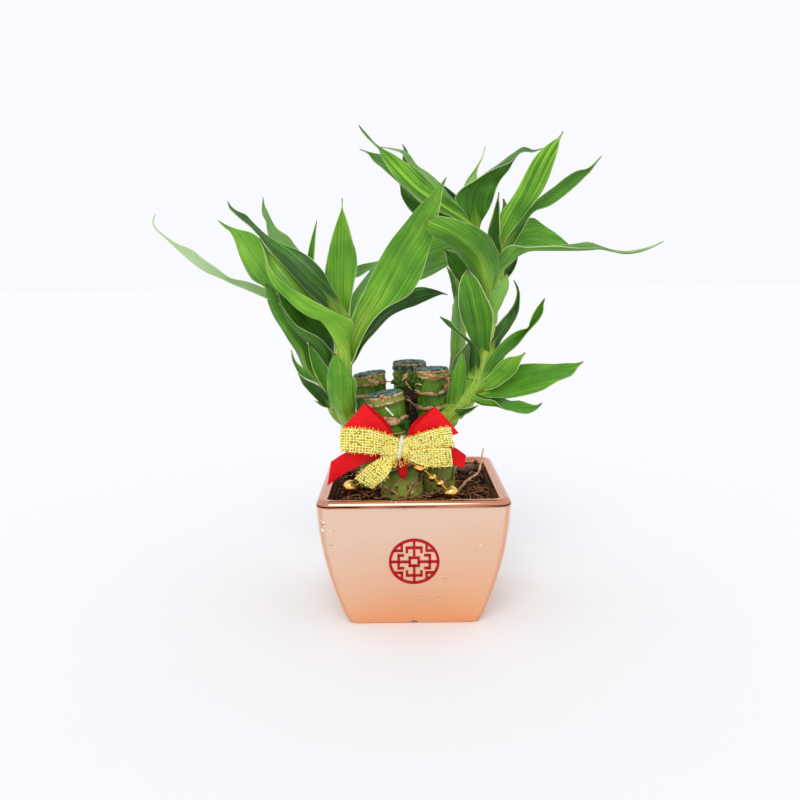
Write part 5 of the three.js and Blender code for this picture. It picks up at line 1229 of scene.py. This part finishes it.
class StageOperator(bpy.types.Operator):
    """Sets the camera, the backdrop and the soft lights"""

    bl_idname = "bamboo.stage"
    bl_label = "Set the stage"

    def execute(self, context):
        settings = context.scene.bamboo_stage
        pitch, roll = (math.radians(angle) for angle in (CAMERA_PITCH, CAMERA_ROLL))
        ahead = Vector((0, math.cos(pitch), -math.sin(pitch)))
        level_up = Vector((0, math.sin(pitch), math.cos(pitch)))
        level_right = Vector((1, 0, 0))
        right = level_right * math.cos(roll) - level_up * math.sin(roll)
        up = level_up * math.cos(roll) + level_right * math.sin(roll)
        camera = bpy.data.objects.new("camera", bpy.data.cameras.new("camera"))
        context.scene.collection.objects.link(camera)
        camera.data.lens = 36
        camera.data.sensor_width = 36
        camera.data.clip_start = 0.01
        turn = Matrix((right, up, -ahead)).transposed().to_4x4()
        camera.matrix_world = Matrix.Translation(CAMERA_PLACE) @ turn
        context.scene.camera = camera
        select_only()
        bpy.ops.mesh.primitive_plane_add(size=16, location=(0, 0, 0))
        floor = context.active_object
        floor.name = "floor"
        paint(floor, plain_paper("backdrop_paper", settings.paper))
        # One very wide softbox high in front, so far off that it lights the floor evenly
        light = bpy.data.objects.new("softbox", bpy.data.lights.new("softbox", "SUN"))
        light.data.angle = math.radians(28)
        light.data.energy = settings.key_power
        light.rotation_euler = (math.radians(42), 0, math.radians(-8))
        context.scene.collection.objects.link(light)
        world = bpy.data.worlds.new("studio")
        world.use_nodes = True
        context.scene.world = world
        world.node_tree.nodes.clear()
        background = add_node(world.node_tree, "Background", {"Color": linear("#F9FAFD"), "Strength": 1.0})
        add_node(world.node_tree, "OutputWorld", {"Surface": background})
        context.scene.view_settings.view_transform = "Standard"
        return {"FINISHED"}


class PotOperator(bpy.types.Operator):
    """Makes the square pot with its rounded lip and notched foot"""

    bl_idname = "bamboo.pot"
    bl_label = "Make the pot"

    def execute(self, context):
        pot_set = context.scene.bamboo_pot
        foot, rim, high, wall = pot_set.foot_width / 2, pot_set.rim_width / 2, pot_set.height, pot_set.wall
        select_only()
        bpy.ops.mesh.primitive_plane_add(size=2 * (foot - 0.001), location=(0, 0, 0))
        pot = context.active_object
        bpy.ops.object.mode_set(mode="EDIT")
        bpy.ops.mesh.select_all(action="SELECT")
        bpy.ops.mesh.bevel(offset=pot_set.corner, segments=8, affect="VERTICES")
        # Stations of (half width, height): the foot's edge, the flared wall, the round lip and the inner wall
        lip, tuck = wall / 2, 0.00012
        stations = [(foot - 0.001, 0.0), (foot - 0.0003, 0.0003), (foot, 0.001)]
        stations += [
            (pot_half(h, pot_set) - tuck * (h / high) ** 3, h)
            for h in np.linspace(0.004, high - 1.22 * lip, 24)]
        stations += [
            (rim - lip + lip * math.cos(a), high - lip + lip * math.sin(a))
            for a in np.linspace(-math.pi / 20, math.pi, 18)]
        stations += [(pot_half(h, pot_set) - wall, h) for h in np.linspace(high - lip - 0.004, 0.012, 9)]
        raise_walls([*stations, (pot_half(0.006, pot_set) - wall - 0.004, 0.006)])
        # The underside is hollowed inside the foot ring
        foot_ring, hollow = 0.0045, 0.0014
        bpy.ops.mesh.select_all(action="DESELECT")
        bpy.ops.mesh.select_mode(type="FACE")
        bpy.ops.object.mode_set(mode="OBJECT")
        for face in pot.data.polygons:
            face.select = face.center.z < 1e-5
        bpy.ops.object.mode_set(mode="EDIT")
        bpy.ops.mesh.inset(thickness=foot_ring)
        bpy.ops.mesh.extrude_region_move(TRANSFORM_OT_translate={"value": (0, 0, hollow)})
        bpy.ops.mesh.select_mode(type="VERT")
        bpy.ops.object.mode_set(mode="OBJECT")
        # A small mould notch in the middle of each side of the foot
        notch, notch_middle = 0.0024, -0.0009
        for turn in range(4):
            select_only()
            bpy.ops.mesh.primitive_cylinder_add(
                vertices=32, radius=notch, depth=0.02, location=(0, 0, 0), rotation=(math.pi / 2, 0, 0))
            cutter = context.active_object
            side = Matrix.Rotation(turn * math.pi / 2, 4, "Z") @ Matrix.Translation((0, -foot, notch_middle))
            cutter.matrix_world = side @ cutter.matrix_world
            context.view_layer.update()
            modify(pot, "BOOLEAN", object=cutter, operation="DIFFERENCE", solver="EXACT")
            bpy.data.objects.remove(cutter)
        reach = [sorted((abs(vertex.co.x), abs(vertex.co.y))) for vertex in pot.data.vertices]
        straight = 1 - pot_set.corner / foot
        store(pot.data, "corner", np.clip([(a / max(b, 1e-6) - straight) / (1 - straight) for a, b in reach],
            0, 1))
        piece([pot], "pot_body", "pot_glaze", rose_gold_plated_glaze(pot_set), "pot", angle=35)
        return {"FINISHED"}


class RoundelOperator(bpy.types.Operator):
    """Makes the red lattice roundel on the pot's front"""

    bl_idname = "bamboo.roundel"
    bl_label = "Make the roundel"

    def execute(self, context):
        pot_set = context.scene.bamboo_pot
        radius, middle = pot_set.roundel_radius, pot_set.roundel_height
        thick, ring, gap, cut = 0.00025, 0.0014, 0.0001, 0.0013
        select_only()
        bpy.ops.mesh.primitive_circle_add(vertices=96, radius=radius, fill_type="NGON", location=(0, 0, 0))
        whole = context.active_object
        bpy.ops.object.mode_set(mode="EDIT")
        bpy.ops.mesh.inset(thickness=ring)
        bpy.ops.mesh.delete(type="FACE")
        bpy.ops.mesh.select_all(action="SELECT")
        bpy.ops.mesh.extrude_region_move(TRANSFORM_OT_translate={"value": (0, 0, thick)})
        bpy.ops.mesh.select_all(action="SELECT")
        bpy.ops.mesh.normals_make_consistent(inside=False)
        bpy.ops.object.mode_set(mode="OBJECT")
        # The lattice's bars in one quarter: left, low, right and high, in millimetres
        bars = [
            (-0.65, 1.6, 0.65, 12), (-2.9, 1.6, 2.9, 2.9), (-4.3, 7.2, 4.3, 8.5), (-4.3, 5, -3, 8),
            (3, 5, 4.3, 8),
            (5.6, 5.6, 6.9, 10), (5.6, 5.6, 10, 6.9),
        ]
        for quarter in range(4):
            for left, low, right, high in bars:
                select_only()
                bpy.ops.mesh.primitive_cube_add(size=1, location=(0, 0, 0))
                bar = context.active_object
                bar.matrix_world = (
                    Matrix.Rotation(quarter * math.pi / 2, 4, "Z")
                    @ Matrix.Translation(((left + right) / 2 * MM, (low + high) / 2 * MM, thick / 2))
                    @ Matrix.Diagonal(((right - left) * MM, (high - low) * MM, thick, 1)))
                context.view_layer.update()
                modify(whole, "BOOLEAN", object=bar, operation="UNION", solver="EXACT")
                bpy.data.objects.remove(bar)
        # Level cuts let the plate follow the pot's curve, a little in front of it
        select_only(whole)
        bpy.ops.object.mode_set(mode="EDIT")
        for level in np.arange(-radius + 0.001, radius, cut):
            bpy.ops.mesh.select_all(action="SELECT")
            bpy.ops.mesh.bisect(plane_co=(0, level, 0), plane_no=(0, 1, 0))
        bpy.ops.object.mode_set(mode="OBJECT")
        for vertex in whole.data.vertices:
            x, y, lift = vertex.co
            vertex.co = (x, -pot_half(middle + y, pot_set) - gap - lift, middle + y)
        piece([whole], "roundel_relief", "red_glaze", red_enamel(pot_set), "roundel", angle=30)
        return {"FINISHED"}


class SoilOperator(bpy.types.Operator):
    """Fills the pot with potting mix, its crumbs and its loose strands"""

    bl_idname = "bamboo.soil"
    bl_label = "Fill the pot"

    def execute(self, context):
        pot_set, plant = context.scene.bamboo_pot, context.scene.bamboo_plant
        rng = random.Random(4)
        top, corner, count = 0.0630, 0.004, 90
        half = pot_half(0.0634, pot_set) - pot_set.wall - 0.0002

        def height(x, y):
            bump = noise.fractal((x * 160, y * 160, 3.1), 0.8, 2.1, 5)
            rim = max(abs(x), abs(y)) / half
            return top + 0.0013 * bump + 0.0006 * (1 - rim) - 0.0012 * rim ** 8

        rows = np.zeros((count, count, 3))
        for a in range(count):
            for b in range(count):
                x, y = ((b / (count - 1) * 2 - 1) * half, (a / (count - 1) * 2 - 1) * half)
                over_x, over_y = abs(x) - half + corner, abs(y) - half + corner
                if over_x > 0 and over_y > 0:
                    shrink = corner / max(math.hypot(over_x, over_y), corner)
                    x = math.copysign(half - corner + over_x * shrink, x)
                    y = math.copysign(half - corner + over_y * shrink, y)
                rows[a, b] = (x, y, height(x, y))
        soil, _, _ = grid_sheet("soil_bed", rows)
        bpy.ops.object.mode_set(mode="EDIT")
        bpy.ops.mesh.select_all(action="DESELECT")
        bpy.ops.mesh.select_mode(type="EDGE")
        bpy.ops.mesh.select_non_manifold(extend=False)
        bpy.ops.mesh.extrude_region_move(TRANSFORM_OT_translate={"value": (0, 0, -0.006)})
        bpy.ops.mesh.edge_face_add()
        bpy.ops.mesh.select_mode(type="VERT")
        bpy.ops.object.mode_set(mode="OBJECT")
        piece([soil], "soil_bed", "soil", peat_and_coir(), "soil")
        # Crumbs of 20 faces each
        select_only()
        bpy.ops.mesh.primitive_ico_sphere_add(subdivisions=1, radius=1, location=(0, 0, 0))
        seed = context.active_object
        crumbs = []
        for _ in range(plant.crumbs):
            crumb = bpy.data.objects.new("crumb", seed.data.copy())
            context.scene.collection.objects.link(crumb)
            x, y = (rng.uniform(-half + 0.002, half - 0.002) for _ in range(2))
            size = rng.uniform(0.0004, 0.0013)
            crumb.matrix_world = (
                Matrix.Translation((x, y, height(x, y) + size * 0.2))
                @ Matrix.Rotation(rng.uniform(0, 6.28), 4, (rng.random(), rng.random(), rng.random() + 0.1))
                @ Matrix.Diagonal((size * rng.uniform(0.8, 2.2), size, size * rng.uniform(0.5, 1), 1)))
            crumbs.append(crumb)
        bpy.data.objects.remove(seed)
        context.view_layer.update()
        piece(crumbs, "soil_crumbs", "soil", peat_and_coir(), angle=FLAT)
        # Coir strands, 14 to 27 mm long, lying in loose curls
        routes, stride, limit = [], 0.0018, half - 0.001
        for _ in range(plant.fibres):
            angle, turn = rng.uniform(0, 6.28), rng.uniform(-0.5, 0.5)
            x, y = (rng.uniform(-half * 0.92, half * 0.92) for _ in range(2))
            hop, points = rng.uniform(0.0004, 0.0026), []
            steps = rng.randint(9, 16)
            for k in range(steps):
                lift = hop * math.sin(math.pi * k / (steps - 1)) * rng.uniform(0.6, 1.2)
                points.append((x, y, height(x, y) + lift + 0.0002))
                angle += turn + rng.uniform(-0.35, 0.35)
                x = min(max(x + stride * math.cos(angle), -limit), limit)
                y = min(max(y + stride * math.sin(angle), -limit), limit)
            points = smooth_route(points, steps * 2)
            routes.append((points, rng.uniform(0.00014, 0.00034) * np.linspace(1, 0.35, len(points))))
        dark = len(routes) // 3 * 2
        for name, part, shades in (
            ("coir_dark", routes[:dark], ("#4E2616", "#985A38")),
            ("coir_pale", routes[dark:], ("#9C6640", "#D9A97A")),
        ):
            piece([tubes(name, part, sides=4)], name, "soil", dry_fibre(name, *shades), angle=ALL_SMOOTH)
        return {"FINISHED"}


class CanesOperator(bpy.types.Operator):
    """Raises the four canes with their papery rings and waxed tops"""

    bl_idname = "bamboo.canes"
    bl_label = "Raise the canes"

    def execute(self, context):
        plant = context.scene.bamboo_plant
        skin, wax_skin = cane_skin(plant), sealing_wax()
        paper = dry_fibre("papery_scar", "#6E4420", "#DFB682")
        rng = random.Random(9)
        for place, cane in CANES.items():
            at, way = cane_axis(cane)
            foot = at(CANE_FOOT)
            length = (Vector(cane["top"]) - foot).length - WAX_THICKNESS
            turn = Vector((0, 0, 1)).rotation_difference(way).to_matrix().to_4x4()
            where = Matrix.Translation(foot * MM) @ turn
            seed = rng.uniform(0, 50)
            body = cane_body(cane, length, seed)
            piece([body], f"cane_{place}_skin", "cane", skin, f"cane_{place}", angle=50, where=where)
            flakes = bark_flakes(cane, length, seed, rng)
            scales = scale_leaves(cane["radius"], seed, rng)
            piece(scales, f"cane_{place}_scales", "cane", skin, angle=50, where=where)
            piece(flakes, f"cane_{place}_paper", "husk", paper, angle=50, where=where)
            down = Matrix.Translation((0, 0, -WAX_THICKNESS * MM))
            on_top = Matrix.Translation(Vector(cane["top"]) * MM) @ turn @ down
            piece([wax_cap(cane, seed)], f"wax_{place}_cap", "wax", wax_skin, f"wax_{place}", where=on_top)
        return {"FINISHED"}


class ShootsOperator(bpy.types.Operator):
    """Grows the four leafy shoots"""

    bl_idname = "bamboo.shoots"
    bl_label = "Grow the shoots"

    def execute(self, context):
        plant = context.scene.bamboo_plant
        upper, under = leaf_skin(plant), leaf_skin(plant, under=True)
        rng = random.Random(21)
        count = 80
        for place, (route, radius, leaves) in SHOOTS.items():
            stem = smooth_route(route, count)
            radii = np.linspace(*radius, count)
            parts = [
                grow_leaf(f"leaf_{place}_{order}", spec, stem, radii, order, rng, plant.leaf_thickness)
                for order, spec in enumerate(leaves)]
            # The stem, with a joint at each old leaf base
            step, joint_gap, joint_size = np.linalg.norm(stem[1] - stem[0]), 5, 0.22
            joint = joint_size * np.maximum(0, np.cos(np.arange(count) * step / joint_gap * 6.28)) ** 6
            core = tubes("stem", [(stem * MM, (radii - 0.2 + joint) * MM)], sides=16)
            for key, value in (("margin", 5), ("rib", 0.2), ("rise", 0.02), ("tone", 0.5), ("cast", 1)):
                store(core.data, key, value)
            for part in (*parts, core):
                paint(part, upper, under)
            piece([*parts, core], f"shoot_{place}_leaves", "leaf", None, f"shoot_{place}")
        return {"FINISHED"}


class DryBitsOperator(bpy.types.Operator):
    """Adds the dry husk between the canes and the loose root"""

    bl_idname = "bamboo.dry_bits"
    bl_label = "Add the husk and the root"

    def execute(self, context):
        # Noise vectors start from the time of day unless they are seeded
        noise.seed_set(5)
        skins = {
            "husk": dry_fibre("dry_husk_paper", "#1F3310", "#5E7F2C"),
            "green": dry_fibre("torn_green_skin", "#182A0C", "#3F6A1C"),
            "tan": dry_fibre("torn_papery_skin", "#744A24", "#DFB784"),
            # Painted shade: a near-black sheet fills the gap between the canes, over what is left of an old
            # sheath
            "dark": dry_fibre("gap_shade_sheath", "#0E0A07", "#33231A"),
            "pale": dry_fibre("scraped_skin", "#C9D0B8", "#F2F4EA"),
        }
        scraps = {kind: [] for kind in skins}
        for kind, rows in [("husk", HUSK), *SCRAPS]:
            rows, _ = rows_between(np.array([*rows[:-1], rows[-1] * 3], float), 28, 11)
            crumple = 0.9 if kind in ("husk", "dark") else 0.25
            for point in rows.reshape(-1, 3):
                point += np.array(noise.noise_vector(Vector(point) * 0.42)) * crumple
            scraps[kind].append(thin_sheet("scrap", rows, 0.0003))
        for kind, parts in scraps.items():
            name, nodes = ("husk_curl", ["dry_husk"]) if kind == "husk" else (f"scraps_{kind}", [])
            piece(parts, name, "husk", skins[kind], *nodes)
        routes = []
        for points, radius in THREADS:
            points = smooth_route(points, 30)
            wander = np.array([noise.noise_vector(Vector(point) * 0.8) for point in points]) * 0.35
            routes.append(((points + wander) * MM, np.linspace(1, 0.45, 30) * radius * MM))
        piece([tubes("husk_threads", routes)], "husk_threads", "husk", skins["tan"], angle=ALL_SMOOTH)
        points = smooth_route(ROOT_ROUTE, 60) * MM
        wander = np.array([noise.noise_vector(Vector(p) * 260) for p in points]) * 0.0005
        wander[:8] = 0
        radii = (np.linspace(0.85, 0.4, 60) + np.array([0.12 * noise.noise(Vector(p) * 700)
            for p in points])) * MM
        root = tubes("root", [(points + wander, radii)], sides=10)
        pale_root = dry_fibre("pale_root", "#A98458", "#DCC39A")
        piece([root], "root_strand", "root", pale_root, "loose_root", angle=ALL_SMOOTH)
        return {"FINISHED"}


class RedRibbonOperator(bpy.types.Operator):
    """Ties the red satin loops and ends"""

    bl_idname = "bamboo.red_ribbon"
    bl_label = "Tie the red ribbon"

    def execute(self, context):
        bow = context.scene.bamboo_bow
        sheets = ribbon_stretches(RED_RIBBON, 0.35, bow.ribbon_thickness, random.Random(2))
        ribbon = piece(sheets, "red_ribbon_satin", "red_satin", red_satin(bow), "red_ribbon")
        return {"FINISHED"}


class GoldRibbonOperator(bpy.types.Operator):
    """Weaves the glittering gold net ribbon"""

    bl_idname = "bamboo.gold_ribbon"
    bl_label = "Weave the gold ribbon"

    def execute(self, context):
        bow = context.scene.bamboo_bow
        pleats, face_gap = 0.3, 0.26
        warp_radius, weft_radius, film_radius = 0.00038, 0.0004, 0.00034
        sheets = ribbon_stretches(GOLD_RIBBON, pleats, 0.00025, random.Random(3))
        ground = piece(sheets, "gold_ribbon_ground", "gold_mesh", gold_ground(), "gold_ribbon")
        rng = random.Random(3)
        warps, wefts, loose = [], [], []
        for lower, upper in GOLD_RIBBON:
            rows = ribbon_rows(lower, upper, pleats, rng, step=bow.thread_gap / MM / 2)
            along, across = rows.shape[:2]
            lengthwise = unit(np.gradient(rows, axis=0))
            normal = unit(np.cross(lengthwise, unit(rows[:, -1] - rows[:, 0])[:, None, :]))
            for side in (1, -1):
                out = normal * side
                face = rows + out * face_gap
                for j in range(across):
                    signs = [i // 2 + j for i in range(along)]
                    warps.append((woven_thread(face[:, j], out[:, j], signs, 0.15, 0.26, rng), warp_radius))
                for i in range(0, along, 2):
                    signs = [i // 2 + j + 1 for j in range(across)]
                    wefts.append((woven_thread(face[i], out[i], signs, 0.18, 0.28, rng), weft_radius))
            # Cut ends of film that stick out of the edges
            for edge, inner in ((0, 1), (across - 1, across - 2)):
                for i in range(1, along - 1):
                    base = rows[i, edge]
                    out = unit(base - rows[i, inner]) * rng.uniform(0.3, 2.0)
                    bend = np.array([rng.uniform(-0.7, 0.7) for _ in range(3)])
                    points = [base, base + out * 0.5 + bend * 0.3, base + out * 0.8 + bend]
                    loose.append((np.array(points) * MM, np.array([0.0003, 0.00026, 0.00016])))
        # Curls of film that stand out under the tie
        for _ in range(7):
            x, z, start, size = (rng.uniform(*span)
                for span in ((-9.5, -3), (84.5, 88.5), (0, 6.28), (0.8, 1.7)))
            points = [
                (x + size * math.cos(start + a * 0.62) * (1 - a * 0.05), -32 - 0.25 * a,
                 z + size * 1.5 * math.sin(start + a * 0.62))
                for a in range(9)]
            loose.append((smooth_route(points, 24) * MM, film_radius))
        cloth, film = gold_lame(bow), plated_gold("gold_film", 0.25)
        for name, routes, skin in (
            ("gold_ribbon_warp", warps, cloth), ("gold_ribbon_weft", wefts, cloth),
            ("gold_ribbon_fray", loose, film),
        ):
            piece([tubes(name, routes, sides=4)], name, "gold_mesh", skin, angle=ALL_SMOOTH)
        return {"FINISHED"}


class TieOperator(bpy.types.Operator):
    """Winds the white tie round the canes and the middle of the bow"""

    bl_idname = "bamboo.tie"
    bl_label = "Wind the tie"

    def execute(self, context):
        outline, strand, band_radius, bow_radius = [], 1.6, 0.00045, 0.00044
        for k in range(72):
            angle = k / 72 * math.tau
            way = Vector((math.cos(angle), math.sin(angle)))
            sides = (
                Vector(cane_axis(cane)[0](TIE_HEIGHT).xy) + way * (cane["radius"] + strand)
                for cane in CANES.values())
            best = max(sides, key=lambda point: point.dot(way))
            outline.append((best.x, best.y))
        routes = []
        for level in (-0.55, 0.55):
            ring = [(x, y, TIE_HEIGHT + level) for x, y in outline]
            routes.append((smooth_route([*ring, ring[0]], 160) * MM, band_radius))
        # Two strands twisted round each other go round the middle of the bow
        middle, deep, tall, twists = (-6.5, -27.3, 92.1), 4.3, 5.7, 13
        for phase in (0, math.pi):
            turn = []
            for k in range(145):
                a = k / 144 * math.tau
                twist = twists * a + phase
                grow = 1 + 0.07 * math.sin(twist)
                y = middle[1] - deep * grow * math.copysign(abs(math.cos(a)) ** 0.6, math.cos(a))
                z = middle[2] + tall * grow * math.copysign(abs(math.sin(a)) ** 0.7, math.sin(a))
                turn.append((middle[0] + 0.5 * math.cos(twist) + 0.9 * math.sin(a), y, z))
            routes.append((np.array(turn) * MM, bow_radius))
        strands = tubes("tie", routes, sides=10)
        piece([strands], "bow_tie_strands", "white_tie", paper_tie(), "bow_tie", angle=ALL_SMOOTH)
        return {"FINISHED"}


class BeadsOperator(bpy.types.Operator):
    """Threads the gold beads on their stiff wires"""

    bl_idname = "bamboo.beads"
    bl_label = "Thread the beads"

    def execute(self, context):
        bead_gold, wire_gold = plated_gold("gold_plated_bead", 0.08), plated_gold("gold_wire", 0.22)
        wire_radius, dimple, seam = 0.00042, 0.97, 0.02
        for side, wire in BEAD_WIRES.items():
            points = smooth_route(wire["route"], 70) * MM
            strand = tubes(f"wire_{side}", [(points, wire_radius)], sides=10)
            piece([strand], f"wire_{side}", "gold_wire", wire_gold, f"bead_wire_{side}", angle=ALL_SMOOTH)
            for node, (centre, radius) in wire["beads"].items():
                middle = Vector(centre) * MM
                near = int(np.argmin(np.linalg.norm(points - np.array(middle), axis=1)))
                way = Vector(points[min(near + 2, 69)] - points[max(near - 2, 0)]).normalized()
                select_only()
                bpy.ops.mesh.primitive_uv_sphere_add(
                    segments=40, ring_count=24, radius=radius * MM, location=(0, 0, 0))
                bead = context.active_object
                # A dimple round the wire at each end and the seam of the two halves, each by its share of the
                # radius
                for vertex in bead.data.vertices:
                    share = abs(vertex.co.z) / (radius * MM)
                    if share > dimple:
                        vertex.co.z *= 1 - 0.5 * (share - dimple) / 0.03 * 0.14
                    if share < seam:
                        vertex.co.xy *= 0.985
                lean = way.to_track_quat("Z", "Y")
                bead.matrix_world = Matrix.Translation(middle) @ lean.to_matrix().to_4x4()
                parts = [bead]
                # A fine collar at each end
                for end in (-1, 1):
                    select_only()
                    bpy.ops.mesh.primitive_torus_add(
                        major_radius=0.0008, minor_radius=0.00028, major_segments=24, minor_segments=8,
                        location=middle + way * end * radius * MM * 0.95)
                    parts.append(context.active_object)
                    parts[-1].rotation_euler = lean.to_euler()
                context.view_layer.update()
                piece(parts, f"{node}_ball", "gold_bead", bead_gold, node, angle=ALL_SMOOTH)
        return {"FINISHED"}


OPERATORS = (
    StageOperator, PotOperator, RoundelOperator, SoilOperator, CanesOperator, ShootsOperator, DryBitsOperator,
    RedRibbonOperator, GoldRibbonOperator, TieOperator, BeadsOperator,
)
SETTINGS = {
    "bamboo_pot": PotSettings, "bamboo_plant": PlantSettings, "bamboo_bow": BowSettings,
    "bamboo_stage": StageSettings,
}


class BambooPanel(bpy.types.Panel):
    """Lists the pieces of the potted lucky bamboo"""

    bl_idname = "VIEW3D_PT_lucky_bamboo"
    bl_label = "Lucky bamboo"
    bl_space_type = "VIEW_3D"
    bl_region_type = "UI"
    bl_category = "Lucky bamboo"

    def draw(self, context):
        for operator in OPERATORS:
            self.layout.operator(operator.bl_idname)
        for name, kind in SETTINGS.items():
            box = self.layout.box()
            for field in kind.__annotations__:
                box.prop(getattr(context.scene, name), field)


def register():
    for kind in (*SETTINGS.values(), *OPERATORS, BambooPanel):
        bpy.utils.register_class(kind)
    for name, kind in SETTINGS.items():
        setattr(bpy.types.Scene, name, bpy.props.PointerProperty(type=kind))


def unregister():
    for name in SETTINGS:
        delattr(bpy.types.Scene, name)
    for kind in reversed((*SETTINGS.values(), *OPERATORS, BambooPanel)):
        bpy.utils.unregister_class(kind)


def main():
    register()
    for operator in OPERATORS:
        family, name = operator.bl_idname.split(".")
        getattr(getattr(bpy.ops, family), name)()


if __name__ == "__main__":
    main()
